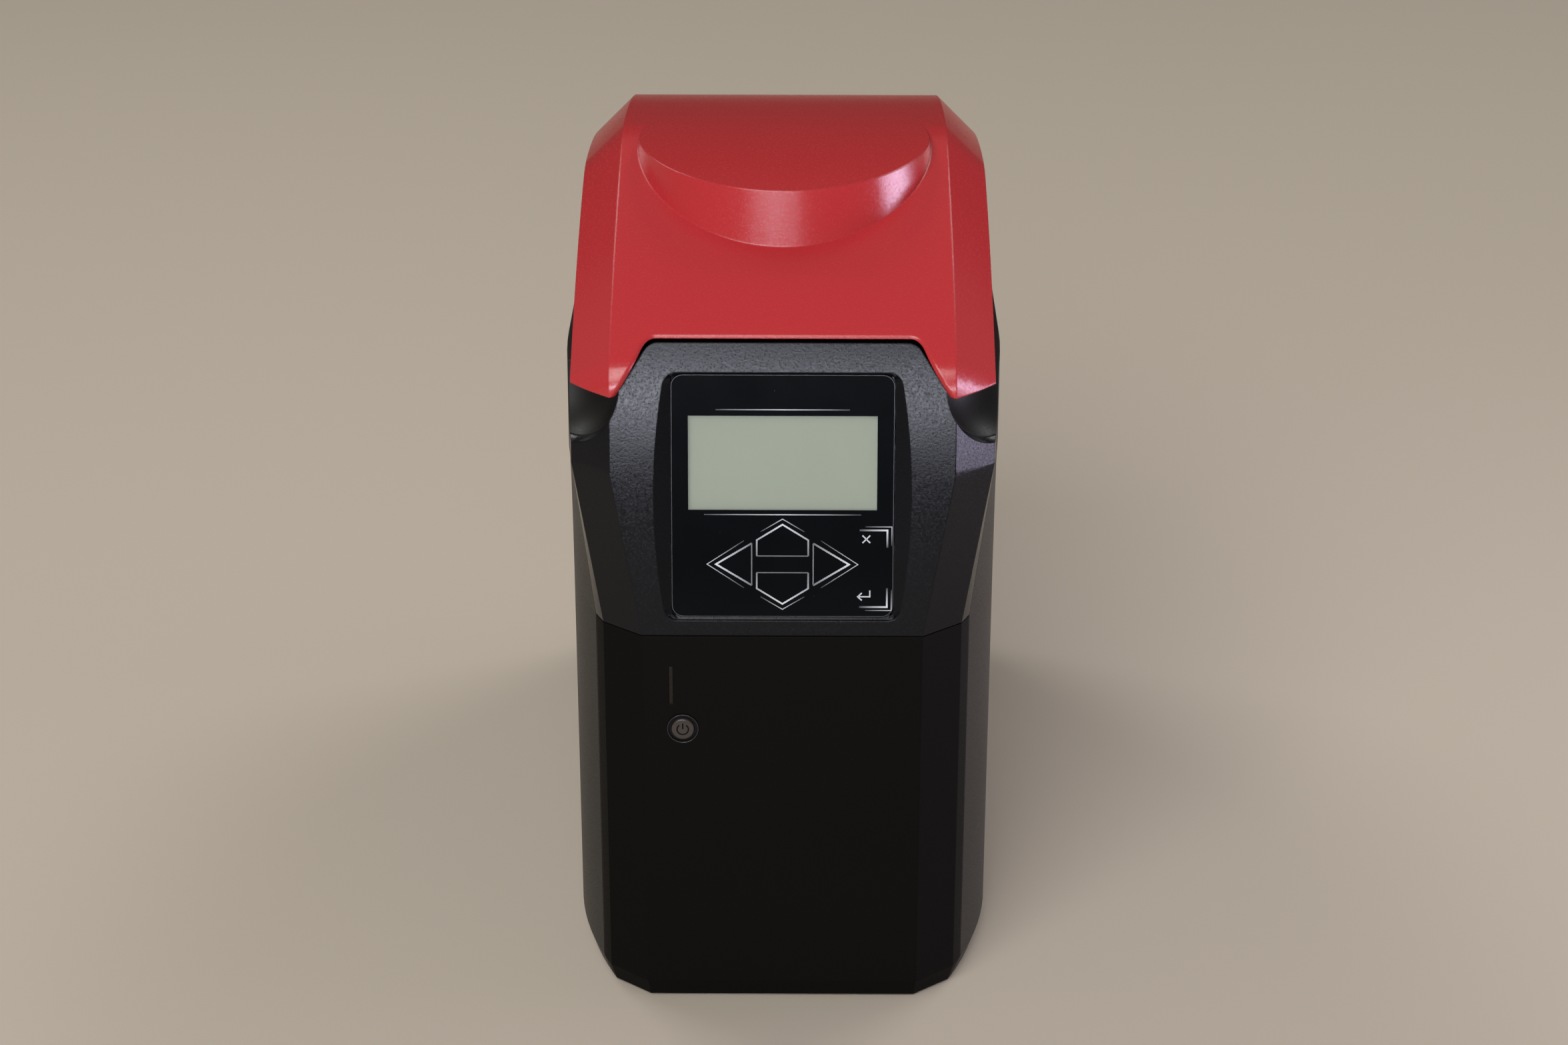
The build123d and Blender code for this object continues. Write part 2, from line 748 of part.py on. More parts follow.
def lid_liner():
    """Black cup inside the dome that quietens the chamber."""
    radius = dome_radius - lid_wall - cup_gap
    low = deck_height + liner_wall + gasket_thick + 0.3
    crown = top_radius - lid_wall
    reach = radius + abs(chamber_y - top_centre[0])
    high = top_centre[1] + math.sqrt(crown ** 2 - reach ** 2) - cup_clear
    cup = bar_z(radius, low, high, 0, chamber_y)
    cup = cup - bar_z(radius - cup_wall, low - 1, high - cup_wall, 0, chamber_y)
    rim = bar_z(chamber_radius + 4.0, low, low + 2.5, 0, chamber_y)
    rim = rim - bar_z(radius - cup_wall, low - 1, low + 9, 0, chamber_y)
    posts = [bar_z(3.0, high, lid_top - lid_wall - touch, x, chamber_y) for x in (-20.0, 20.0)]
    return cup + rim + posts[0] + posts[1]


def hinge_brackets():
    """Two forks on the deck that carry the lid's knuckles."""
    back = hinge_y + 2 * knuckle_radius
    fork = block(ear_low, ear_high, back - 4.0, back, deck_height, hinge_z)
    for start in (ear_low, ear_high - ear_thick):
        fork = fork + bar_x(knuckle_radius, start, start + ear_thick, hinge_y, hinge_z)
        fork = fork + block(start, start + ear_thick, hinge_y - 3, back, deck_height, hinge_z)
    fork = fork - bar_x(hinge_pin_radius + fit, ear_low - 5, ear_high + 5, hinge_y, hinge_z)
    return both_sides(fork)


def hinge_pins():
    """Steel pins, fixed in the forks, that the lid turns on."""
    pin = bar_x(hinge_pin_radius, ear_low - 0.6, ear_high + 0.6, hinge_y, hinge_z)
    return both_sides(pin)


magnet_x = 50.0
magnet_radius = 3.0
magnet_y = front + 34.0


def magnets(low, high):
    """A pair of round magnets near the front corners."""
    return Compound([bar_z(magnet_radius, low, high, side * magnet_x, magnet_y) for side in (-1, 1)])


def interlock_tab():
    """Tongue under the lid that goes through the deck to its switch."""
    foot = lid_section(-tab_half, lid_wall, lip_back, rear - lid_rear - lid_wall)
    under = extrude(foot, 2 * tab_half, dir=(1, 0, 0))
    low = deck_low - tab_reach
    near = tab_y - tab_thick / 2
    far = tab_y + tab_thick / 2
    blade = block(-tab_half, tab_half, near, far, low, lid_top)
    return (blade & under) + block(-tab_half, tab_half, near, far, low, deck_height)


def interlock_switch():
    """Switch under the deck beside the tongue's slot."""
    return block(-10, 10, tab_y + 3.2, tab_y + 10.0, deck_low - 11.0, deck_low)


keep["lid_shell"] = lid_shell()
keep["lid_liner"] = lid_liner()
keep["hinge_brackets"] = hinge_brackets()
keep["hinge_pins"] = hinge_pins()
keep["deck_magnets"] = magnets(deck_height, deck_height + 1.0)
keep["interlock_tab"] = interlock_tab()
keep["interlock_switch"] = interlock_switch()

# -------------------------------------------------------------------- drive
frame_low = base_top + isolator_height
frame_thick = 8.0
frame_top = frame_low + frame_thick
upright_front = chamber_y - 30.0
upright_rear = chamber_y + 20.0
upright_thick = 10.0
upright_half = 20.0
wrist_z = crank_height + rod_length
bridge_low = crank_height + bridge_rise
bridge_top = bridge_low + frame_thick
belt_y = chamber_y + 40.0
bracket_y = belt_y + 9.0
motor_z = crank_height + motor_rise
web_radius = throw + pin_radius + 6.5
web_thick = 6.0
web_gap = rod_width / 2 + 3.0
bracket_thick = 4.0


def drive_frame():
    """Cast frame with two bearing walls and sockets for the guide rods."""
    base = block(-44, 44, upright_front, bracket_y + 8.0, frame_low, frame_top)
    base = fillet(base.edges().filter_by(Axis.Z), 6.0)
    for y in (upright_front, upright_rear):
        wall_part = block(-upright_half, upright_half, y, y + upright_thick, frame_top - 1, crank_height)
        wall_part = wall_part + bar_y(upright_half, y, y + upright_thick, 0, crank_height)
        base = base + wall_part - bar_y(bearing_radius + fit, y - 5, y + 20, 0, crank_height)
    for side in (-1, 1):
        base = base + bar_z(9.0, frame_top - 1, frame_top + 8.0, side * guide_spread, chamber_y)
        base = base - bar_z(guide_radius + fit, frame_low + 2.0, 400, side * guide_spread, chamber_y)
    return base


isolator_places = [(x, y) for x in (-36.0, 36.0) for y in (upright_front + 8.0, bracket_y)]


def drive_isolators():
    """Rubber blocks between the base plate and the frame, waisted."""
    blocks = []
    for x, y in isolator_places:
        body = bar_z(isolator_radius, base_top, frame_low, x, y)
        groove = bar_z(isolator_radius + 1, base_top + 3, frame_low - 3, x, y)
        groove = groove - bar_z(isolator_radius - 1.5, base_top, frame_low, x, y)
        blocks.append(body - groove)
    return Compound(blocks)


def guide_rods():
    """Two hardened rods that the carriage slides on."""
    return Compound([bar_z(guide_radius, frame_low + 2.0, bridge_top, side * guide_spread, chamber_y)
                     for side in (-1, 1)])


def guide_bridge():
    """Plate across the tops of the guide rods."""
    plate_form = block(-42, 42, chamber_y - 12, chamber_y + 12, bridge_low, bridge_top)
    plate_form = fillet(plate_form.edges().filter_by(Axis.Z), 8.0)
    for side in (-1, 1):
        plate_form = plate_form - bar_z(guide_radius + fit, 0, 400, side * guide_spread, chamber_y)
    return plate_form - bar_z(shaft_radius + 1.5, 0, 400, 0, chamber_y)


def bearing(y):
    """One ball bearing, drawn as its two rings and the ball track."""
    ring = bar_y(bearing_radius, y, y + bearing_width, 0, crank_height)
    ring = ring - bar_y(journal_radius + running, y - 5, y + 20, 0, crank_height)
    for side in (y - 1, y + bearing_width - 0.8):
        groove = bar_y(bearing_radius - 2, side, side + 1.8, 0, crank_height)
        groove = groove - bar_y(journal_radius + 2, side - 1, side + 3, 0, crank_height)
        ring = ring - groove
    return ring


def crank_bearings():
    """Bearings in the two walls of the frame."""
    return Compound([bearing(upright_front + 1.0), bearing(upright_rear + 1.0)])


def crank_shaft():
    """Journals, two round webs with counterweights, and the crank pin."""
    near = chamber_y - web_gap
    far = chamber_y + web_gap
    shaft = bar_y(journal_radius, upright_front - 3.0, near, 0, crank_height)
    shaft = shaft + bar_y(journal_radius, far, belt_y + belt_width / 2 + 1.0, 0, crank_height)
    for low in (near - web_thick, far):
        high = low + web_thick
        web = bar_y(web_radius, low, high, 0, crank_height)
        relief = block(2.0, 40.0, low - 1, high + 1, crank_height + throw + pin_radius, crank_height + 40)
        relief = relief + mirror(relief, Plane.XY.offset(crank_height))
        shaft = shaft + (web - relief)
    return shaft + bar_y(pin_radius, near - 1, far + 1, throw, crank_height)


def toothed_wheel(radius, teeth, low, high, bore, x, z):
    """Timing belt pulley with side flanges."""
    wheel = bar_y(radius, low, high, x, z)
    depth = 0.8
    for index in range(teeth):
        turn = 2 * math.pi * index / teeth
        groove_x = x + radius * math.cos(turn)
        groove_z = z + radius * math.sin(turn)
        wheel = wheel - bar_y(depth, low + 1.0, high - 1.0, groove_x, groove_z)
    for start in (low, high - 1.0):
        wheel = wheel + bar_y(radius + belt_thick + 1.0, start, start + 1.0, x, z)
    return wheel - bar_y(bore, low - 1, high + 1, x, z)


def drive_belt():
    """Toothed belt around the motor pulley and the crank pulley."""
    low = belt_y - belt_width / 2 + 0.3
    high = belt_y + belt_width / 2 - 0.3
    gap = 0.1

    def loop(grow):
        big = pulley_radius + grow
        small = motor_pulley_radius + grow
        lean_in = math.asin((big - small) / motor_rise)
        right = (math.cos(lean_in), math.sin(lean_in))
        low_point = (big * right[0], crank_height + big * right[1])
        high_point = (small * right[0], motor_z + small * right[1])
        points = [low_point, high_point]
        points = points + [(-x, z) for x, z in reversed(points)]
        body = make_face(Polyline(points, close=True))
        body = body + Pos(0, crank_height) * Circle(big) + Pos(0, motor_z) * Circle(small)
        return Plane.XZ * extrude(body, 400, both=True)

    return (loop(gap + belt_thick) - loop(gap)) & block(-100, 100, low, high, 0, 400)


def motor_bracket():
    """Plate that stands on the frame and carries the motor."""
    plate_form = block(-32, 32, bracket_y, bracket_y + bracket_thick, frame_top, motor_z + motor_radius)
    plate_form = fillet(plate_form.edges().filter_by(Axis.Y).sort_by(Axis.Z)[2:], 12.0)
    foot = block(-32, 32, bracket_y, bracket_y + 8.0, frame_top, frame_top + bracket_thick)
    plate_form = plate_form + foot
    plate_form = plate_form - bar_y(boss_radius + fit, bracket_y - 5, bracket_y + 20, 0, motor_z)
    return plate_form - bar_y(journal_radius + 4.0, bracket_y - 5, bracket_y + 3.0, 0, crank_height)


def drive_motor():
    """Motor can with a front boss, a rear cover and cooling ribs."""
    start = bracket_y + bracket_thick
    can = bar_y(motor_radius, start, start + motor_length, 0, motor_z)
    can = fillet(can.faces().sort_by(Axis.Y)[-1].edges(), 3.0)
    can = can + bar_y(boss_radius, bracket_y, start, 0, motor_z)
    for index in range(12):
        rib = block(motor_radius - 1, motor_radius + 1.5, start + 10, start + motor_length - 12, -1.2, 1.2)
        can = can + Pos(0, 0, motor_z) * Rot(0, 30 * index, 0) * rib
    return can - bar_y(motor_shaft_radius + running, bracket_y - 5, start + 10.0, 0, motor_z)


def motor_pulley():
    """Small pulley with the motor's shaft."""
    low = belt_y - belt_width / 2 - 1.0
    high = low + belt_width + 2.0
    wheel = toothed_wheel(motor_pulley_radius, motor_teeth, low, high, 3.0, 0, motor_z)
    return wheel + bar_y(motor_shaft_radius, low, bracket_y + 13.0, 0, motor_z)


def crank_pulley():
    """Large pulley keyed on the crankshaft, lightened by round holes."""
    low = belt_y - belt_width / 2 - 1.0
    high = low + belt_width + 2.0
    wheel = toothed_wheel(pulley_radius, crank_teeth, low, high, journal_radius + fit, 0, crank_height)
    for index in range(6):
        turn = math.radians(60 * index)
        hole_x = pulley_hole_circle * math.cos(turn)
        hole_z = crank_height + pulley_hole_circle * math.sin(turn)
        wheel = wheel - bar_y(3.2, low - 1, low + 20, hole_x, hole_z)
    return wheel


keep["drive_frame"] = drive_frame()
keep["drive_isolators"] = drive_isolators()
keep["guide_rods"] = guide_rods()
keep["guide_bridge"] = guide_bridge()
keep["crank_bearings"] = crank_bearings()
keep["crank_shaft"] = crank_shaft()
keep["crank_pulley"] = crank_pulley()
keep["motor_bracket"] = motor_bracket()
keep["drive_motor"] = drive_motor()
keep["motor_pulley"] = motor_pulley()
keep["drive_belt"] = drive_belt()

# ------------------------------------------------------ carriage and holder
carriage_low = wrist_z - 7.0
carriage_top = wrist_z + 15.0
carriage_half = 11.0         # half its thickness, front to back
holder_low = floor_z + 16.0 + throw
holder_top = holder_low + holder_thick
tube_low = holder_low + 3.0
tube_top = tube_low + tube_length
clamp_top = tube_top + clamp_thick


def connecting_rod():
    """Rod with a small end on the wrist pin and an open big end."""
    start = chamber_y - rod_width / 2
    end = chamber_y + rod_width / 2
    centre_x = throw / 2
    big = bar_y(rod_bore + rod_rim, start, end, centre_x, crank_height)
    shank = block(-4.5, 4.5, start + 2, end - 2, crank_height + rod_bore, wrist_z)
    small = bar_y(wrist_radius + 3.0, start, end, 0, wrist_z)
    rod = big + shank + small
    rod = rod - bar_y(rod_bore, start - 1, end + 1, centre_x, crank_height)
    return rod - bar_y(wrist_radius + running, start - 1, end + 1, 0, wrist_z)


def carriage_block():
    """Crosshead with bores for its bushes and a fork for the rod."""
    body = block(-40, 40, chamber_y - carriage_half, chamber_y + carriage_half, carriage_low, carriage_top)
    body = fillet(body.edges().filter_by(Axis.Z), 6.0)
    body = body - block(-10, 10, chamber_y - rod_width / 2 - 0.5, chamber_y + rod_width / 2 + 0.5,
                        carriage_low - 1, wrist_z + wrist_radius + 4.5)
    for side in (-1, 1):
        body = body - bar_z(bush_radius + fit, 0, 400, side * guide_spread, chamber_y)
    return body - bar_y(wrist_radius + fit, -400, 400, 0, wrist_z)


def carriage_bushes():
    """Linear bearings pressed in the carriage."""
    bushes = []
    for side in (-1, 1):
        bush = bar_z(bush_radius, carriage_low, carriage_top, side * guide_spread, chamber_y)
        bushes.append(bush - bar_z(guide_radius + running, 0, 400, side * guide_spread, chamber_y))
    return Compound(bushes)


def wrist_pin():
    """Pin that joins the rod to the carriage."""
    return bar_y(wrist_radius, chamber_y - carriage_half, chamber_y + carriage_half, 0, wrist_z)


def holder_shaft():
    """Shaft from the carriage to the holder, with a stud for the knob."""
    shaft = bar_z(shaft_radius, carriage_top, holder_low, 0, chamber_y)
    shaft = shaft + bar_z(10.0, carriage_top, carriage_top + 4.0, 0, chamber_y)
    return shaft + bar_z(stud_radius, holder_low, clamp_top + knob_height - 3.0, 0, chamber_y)


def around(index, radius):
    """Place of one of the tubes on its circle about the chamber axis."""
    turn = 2 * math.pi * (index + 0.5) / tube_count
    return (radius * math.cos(turn), chamber_y + radius * math.sin(turn))


def sample_holder():
    """Round block with a ring of blind bores and a lightened middle."""
    body = bar_z(holder_radius, holder_low, holder_top, 0, chamber_y)
    body = chamfer(body.faces().sort_by(Axis.Z)[-1].edges(), 1.0)
    for index in range(tube_count):
        x, y = around(index, tube_circle)
        body = body - bar_z(tube_radius + tube_hole_gap, tube_low, holder_top + 5, x, y)
    ring = bar_z(tube_circle - tube_radius - 4.0, holder_top - 16.0, holder_top + 1, 0, chamber_y)
    body = body - (ring - bar_z(hub_radius, 0, 400, 0, chamber_y))
    return body - bar_z(stud_radius + fit, 0, 400, 0, chamber_y)


def sample_tubes():
    """Screw cap tubes in the holder, each with its cap."""
    tubes = []
    for index in range(tube_count):
        x, y = around(index, tube_circle)
        tube = bar_z(tube_radius, tube_low, tube_top - cap_height, x, y)
        tube = chamfer(tube.faces().sort_by(Axis.Z)[0].edges(), tube_tip, tube_tip_in)
        tubes.append(tube + bar_z(tube_radius + cap_over, tube_top - cap_height, tube_top, x, y))
    return Compound(tubes)


def clamp_disc():
    """Disc over the caps, scalloped between the tubes."""
    disc = bar_z(clamp_radius, tube_top, clamp_top, 0, chamber_y)
    for index in range(tube_count):
        x, y = around(index + 0.5, clamp_radius + 3.0)
        disc = disc - bar_z(7.0, tube_top - 1, clamp_top + 1, x, y)
    hub = bar_z(hub_radius, holder_top, tube_top, 0, chamber_y)
    return disc + hub - bar_z(stud_radius + fit, 0, 400, 0, chamber_y)


def clamp_knob():
    """Fluted knob that screws down on the clamp disc."""
    top = clamp_top + knob_height
    knob = bar_z(knob_radius, clamp_top, top, 0, chamber_y)
    knob = fillet(knob.faces().sort_by(Axis.Z)[-1].edges(), 2.0)
    for index in range(knob_grips):
        turn = 2 * math.pi * index / knob_grips
        x = (knob_radius + 1.5) * math.cos(turn)
        y = chamber_y + (knob_radius + 1.5) * math.sin(turn)
        knob = knob - bar_z(grip_radius, clamp_top + 3.0, top + 1, x, y)
    return knob - bar_z(stud_radius + running, clamp_top - 1, top - 2.5, 0, chamber_y)


keep["connecting_rod"] = connecting_rod()
keep["carriage_block"] = carriage_block()
keep["carriage_bushes"] = carriage_bushes()
keep["wrist_pin"] = wrist_pin()
keep["holder_shaft"] = holder_shaft()
keep["sample_holder"] = sample_holder()
keep["sample_tubes"] = sample_tubes()
keep["clamp_disc"] = clamp_disc()
keep["clamp_knob"] = clamp_knob()

# --------------------------------------------------------- back and electrics
panel_back = rear - wall
fan_y = panel_back - panel_thick


def rear_panel():
    """Screwed back panel with a fan grille and a hole for the inlet."""
    panel = block(-panel_half - panel_lap, panel_half + panel_lap, fan_y, panel_back,
                  panel_low - panel_lap, panel_high + panel_lap)
    slots = []
    count = 7
    for index in range(count):
        offset_z = (index - (count - 1) / 2) * slat_pitch
        reach = math.sqrt(fan_bore ** 2 - offset_z ** 2)
        middle = fan_height + offset_z
        slots.append(block(-reach, reach, fan_y - 5, rear + 5, middle - slat_gap / 2, middle + slat_gap / 2))
    for slot in slots:
        panel = panel - slot
    panel = panel + block(-1.5, 1.5, fan_y, panel_back, fan_height - fan_bore, fan_height + fan_bore)
    return panel - block(-inlet_half - 0.1, inlet_half + 0.1, fan_y - 5, rear + 5,
                         inlet_height - inlet_tall - 0.1, inlet_height + inlet_tall + 0.1)


def rear_screws():
    """Screws of the back panel."""
    heads = []
    for x in (-panel_half + 5.0, panel_half - 5.0):
        for z in (panel_low + 5.0, (panel_low + panel_high) / 2, panel_high - 5.0):
            head = bar_y(screw_radius, panel_back, panel_back + screw_head, x, z)
            head = fillet(head.faces().sort_by(Axis.Y)[-1].edges(), 0.8)
            heads.append(head - Pos(x, panel_back + 1.6, z) * Box(3.2, 1.0, 0.7))
    return Compound(heads)


def fan_frame():
    """Square fan frame with a duct and a motor seat on four arms."""
    start = fan_y - fan_thick
    frame = block(-fan_half, fan_half, start, fan_y, fan_height - fan_half, fan_height + fan_half)
    frame = fillet(frame.edges().filter_by(Axis.Y), 4.0)
    frame = frame - bar_y(fan_bore, start - 1, fan_y + 1, 0, fan_height)
    arms = block(-fan_bore - 1, fan_bore + 1, start, start + fan_arm, fan_height - 2, fan_height + 2)
    arms = arms + block(-2, 2, start, start + fan_arm, fan_height - fan_bore - 1, fan_height + fan_bore + 1)
    frame = frame + arms + bar_y(fan_hub - 2, start, start + 4.0, 0, fan_height)
    frame = frame + bar_y(fan_post, start + 4.0, start + 9.0, 0, fan_height)
    for x in (-fan_half + 5.0, fan_half - 5.0):
        for z in (fan_height - fan_half + 5.0, fan_height + fan_half - 5.0):
            frame = frame - bar_y(2.1, start - 1, fan_y + 1, x, z)
    return frame


def fan_rotor():
    """Hub with pitched blades that spins on the fan's post."""
    start = fan_y - fan_thick + 4.5
    end = fan_y - 1.2
    rotor = bar_y(fan_hub, start, end, 0, fan_height)
    rotor = fillet(rotor.faces().sort_by(Axis.Y)[-1].edges(), 1.5)
    middle = (start + end) / 2
    for index in range(blade_count):
        blade = Pos((fan_hub + fan_bore - 1.5) / 2, 0, 0) * Rot(38, 0, 0) * Box(fan_bore - fan_hub, 9.0, 1.2)
        rotor = rotor + Pos(0, middle, fan_height) * Rot(0, 360 * index / blade_count, 0) * blade
    return rotor - bar_y(fan_post + running, start - 1, start + 5.0, 0, fan_height)


def power_inlet():
    """Appliance inlet with a flange outside the back panel."""
    start = panel_back - inlet_deep
    body = block(-inlet_half, inlet_half, start, panel_back,
                 inlet_height - inlet_tall, inlet_height + inlet_tall)
    rim_half = inlet_half + inlet_rim
    rim_tall = inlet_tall + inlet_rim_tall
    body = body + block(-rim_half, rim_half, panel_back, panel_back + inlet_rim_thick,
                        inlet_height - rim_tall, inlet_height + rim_tall)
    pocket = block(-socket_half, socket_half, panel_back - socket_deep, panel_back + 5,
                   inlet_height - socket_tall, inlet_height + socket_tall)
    upper = pocket.edges().filter_by(Axis.Y).sort_by(Axis.Z)[2:]
    return body - chamfer(upper, 4.0)


def inlet_pins():
    """Three flat contacts of the inlet."""
    low = panel_back - socket_deep
    high = panel_back - 2.0
    pins = [block(x - 1.0, x + 1.0, low, high, inlet_height - 4.0, inlet_height) for x in (-7.0, 7.0)]
    pins.append(block(-1.0, 1.0, low, high, inlet_height + 2.0, inlet_height + 6.0))
    return Compound(pins)


def power_supply():
    """Closed supply box on the base behind the drive."""
    top = base_top + 36.0
    case = block(-60, -18, bracket_y + 22.0, rear - 36.0, base_top, top)
    case = fillet(case.edges().filter_by(Axis.Z), 2.0)
    for index in range(6):
        x = -54.0 + 6.0 * index
        case = case - block(x, x + 2.5, bracket_y + 30.0, rear - 44.0, top - 1.5, top + 1)
    return case


board_x = half - 13.0
board_start = bracket_y + 16.0
board_end = rear - 34.0
board_low = base_top + 14.0
board_tall = 110.0


def control_board():
    """Main circuit board on edge beside the motor, with its larger parts."""
    start = board_start
    low = board_low
    board = block(board_x, board_x + board_thick, start, board_end, low, low + board_tall)
    board = board + bar_x(6.0, board_x - 16.0, board_x, start + 14.0, low + 20.0)
    board = board + bar_x(6.0, board_x - 16.0, board_x, start + 30.0, low + 20.0)
    board = board + block(board_x - 14.0, board_x, start + 8.0, start + 34.0, low + 34.0, low + 54.0)
    board = board + block(board_x - 4.0, board_x, start + 10.0, start + 26.0, low + 70.0, low + 86.0)
    return board


def board_pillars():
    """Pillars that carry the main board from the side wall."""
    places = [(y, z) for y in (board_start + 5.0, board_end - 5.0)
              for z in (board_low + 5.0, board_low + board_tall - 5.0)]
    inside = body_inside(wall, base_low, deck_low)
    pillars = []
    for y, z in places:
        pillar = bar_x(3.0, board_x + board_thick, half + 5, y, z) & inside
        pillars.append(pillar)
    return Compound([solid for pillar in pillars for solid in pillar.solids()])


keep["rear_panel"] = rear_panel()
keep["rear_screws"] = rear_screws()
keep["fan_frame"] = fan_frame()
keep["fan_rotor"] = fan_rotor()
keep["power_inlet"] = power_inlet()
keep["inlet_pins"] = inlet_pins()
keep["power_supply"] = power_supply()
keep["control_board"] = control_board()
keep["board_pillars"] = board_pillars()

for node, shape in keep.items():
    export_step(shape, f"parts/{node}.step")
    print(node, len(shape.solids()), "solids")
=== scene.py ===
import math

import bmesh
import bpy
from mathutils import Euler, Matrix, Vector
from mathutils.bvhtree import BVHTree


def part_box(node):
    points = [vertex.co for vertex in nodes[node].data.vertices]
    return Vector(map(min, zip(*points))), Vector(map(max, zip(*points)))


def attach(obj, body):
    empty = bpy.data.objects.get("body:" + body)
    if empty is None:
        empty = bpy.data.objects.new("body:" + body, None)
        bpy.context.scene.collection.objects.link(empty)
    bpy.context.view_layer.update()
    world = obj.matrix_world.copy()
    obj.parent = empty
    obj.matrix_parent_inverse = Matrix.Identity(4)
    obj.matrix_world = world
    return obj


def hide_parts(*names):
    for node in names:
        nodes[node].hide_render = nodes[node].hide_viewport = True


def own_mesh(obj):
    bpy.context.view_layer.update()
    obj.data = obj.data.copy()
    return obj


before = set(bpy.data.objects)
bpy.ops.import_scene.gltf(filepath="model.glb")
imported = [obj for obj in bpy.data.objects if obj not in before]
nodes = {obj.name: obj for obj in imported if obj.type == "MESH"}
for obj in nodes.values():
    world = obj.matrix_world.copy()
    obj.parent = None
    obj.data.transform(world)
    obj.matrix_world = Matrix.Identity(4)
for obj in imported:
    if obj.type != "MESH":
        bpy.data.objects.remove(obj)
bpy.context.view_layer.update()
MM = 0.001

# ---- Body sides and back -------------------------------------------------
# One deep moulding in black ABS, spark eroded on the outside to a fine matt
# grain, closed at the front by two panels and at the top by the deck plate.


def ink(hex_code):
    """An sRGB hex colour as the linear numbers that a shader takes."""
    levels = [int(hex_code[i:i + 2], 16) / 255 for i in (1, 3, 5)]
    return [v / 12.92 if v <= 0.04045 else ((v + 0.055) / 1.055) ** 2.4 for v in levels] + [1.0]


def add(tree, kind, inputs=None, **settings):
    """Adds a node: settings are its own properties, inputs are values or sockets to link."""
    made = tree.nodes.new(kind)
    for key, value in settings.items():
        setattr(made, key, value)
    for key, value in (inputs or {}).items():
        if isinstance(value, bpy.types.NodeSocket):
            tree.links.new(value, made.inputs[key])
        else:
            made.inputs[key].default_value = value
    return made


def blank(name):
    """A new material with only its output, and the Object coordinates to draw on it."""
    finish = bpy.data.materials.new(name)
    finish.use_nodes = True
    tree = finish.node_tree
    tree.nodes.clear()
    place = add(tree, "ShaderNodeTexCoord").outputs["Object"]
    return finish, tree, place


def surface(tree, **inputs):
    """Ends a tree in a Principled shader with the given inputs."""
    shader = add(tree, "ShaderNodeBsdfPrincipled", {k.replace("_", " "): v for k, v in inputs.items()})
    add(tree, "ShaderNodeOutputMaterial", {"Surface": shader.outputs["BSDF"]})


def noise(tree, place, size_mm, **inputs):
    """Noise with blotches of about one size, as a level."""
    made = add(tree, "ShaderNodeTexNoise", {"Vector": place, "Scale": 1 / (size_mm * MM), **inputs})
    return made.outputs["Fac"]


def ranged(tree, level, low, high, start=0.0, end=1.0):
    """A level's stretch from start to end, drawn out over low to high."""
    made = add(tree, "ShaderNodeMapRange", {"Value": level, "From Min": start, "From Max": end,
                                           "To Min": low, "To Max": high})
    return made.outputs["Result"]


# The Mix node's colour sockets share their names with others, so they go by number.
MIX_A, MIX_B, MIX_RESULT = 6, 7, 2


def tinted(tree, level, shade, light_shade):
    """A colour between two shades, by a level."""
    made = add(tree, "ShaderNodeMix", {"Factor": level, MIX_A: ink(shade), MIX_B: ink(light_shade)},
               data_type="RGBA")
    return made.outputs[MIX_RESULT]


PLASTIC_IOR = 1.53
GLOSS_SWING = 0.08
GRAIN_LOW, GRAIN_HIGH = 0.3, 0.7


def moulded(name, shade, light_shade, dull, grain_mm, depth_mm, patch_mm=40.0, shine=0.5, edge_mm=0.0):
    """Moulded plastic: a shade that drifts a little, a grain etched into the mould, and soft edges."""
    finish, tree, place = blank(name)
    colour = tinted(tree, noise(tree, place, patch_mm, Detail=3.0), shade, light_shade)
    grain = noise(tree, place, grain_mm, Detail=2.0, Roughness=0.6)
    gloss = ranged(tree, grain, dull - GLOSS_SWING, dull + GLOSS_SWING, GRAIN_LOW, GRAIN_HIGH)
    bump = add(tree, "ShaderNodeBump", {"Height": grain, "Distance": depth_mm * MM, "Strength": 1.0})
    if edge_mm > 0:
        soft_edge = add(tree, "ShaderNodeBevel", {"Radius": edge_mm * MM}, samples=6)
        tree.links.new(soft_edge.outputs["Normal"], bump.inputs["Normal"])
    surface(tree, Base_Color=colour, Roughness=gloss, Normal=bump.outputs["Normal"], IOR=PLASTIC_IOR,
            Specular_IOR_Level=shine)
    return finish


def dress(finish, *names):
    """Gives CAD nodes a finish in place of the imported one."""
    for name in names:
        mesh = nodes[name].data
        mesh.materials.clear()
        mesh.materials.append(finish)


# ABS out of a spark eroded mould: a soft matt black that greys where light grazes it.
# The grain is about 0.2 mm, and is drawn at 0.55 mm so that it shows.
black_abs = moulded("fine_grained_black_abs", "#12110f", "#171513", 0.46, 0.55, 0.02, shine=0.25,
                    edge_mm=0.8)
dress(black_abs, "main_housing", "rear_panel")

# ---- Lower front panel ---------------------------------------------------
# The plain panel under the display, in the same ABS but a shade browner, with
# a finer and duller grain. The slot and the button's seat are cut in it.

# The same plastic from a duller mould: it stays nearly black from every side.
panel_abs = moulded("plain_brown_black_abs", "#070605", "#090807", 0.6, 0.45, 0.012, shine=0.07, edge_mm=0.7)
dress(panel_abs, "lower_front_panel")

# ---- Display panel -------------------------------------------------------
# The leaning moulding round the keypad, in charcoal ABS with a coarse leathery
# texture that catches the light on the flat front and the soft shoulders.

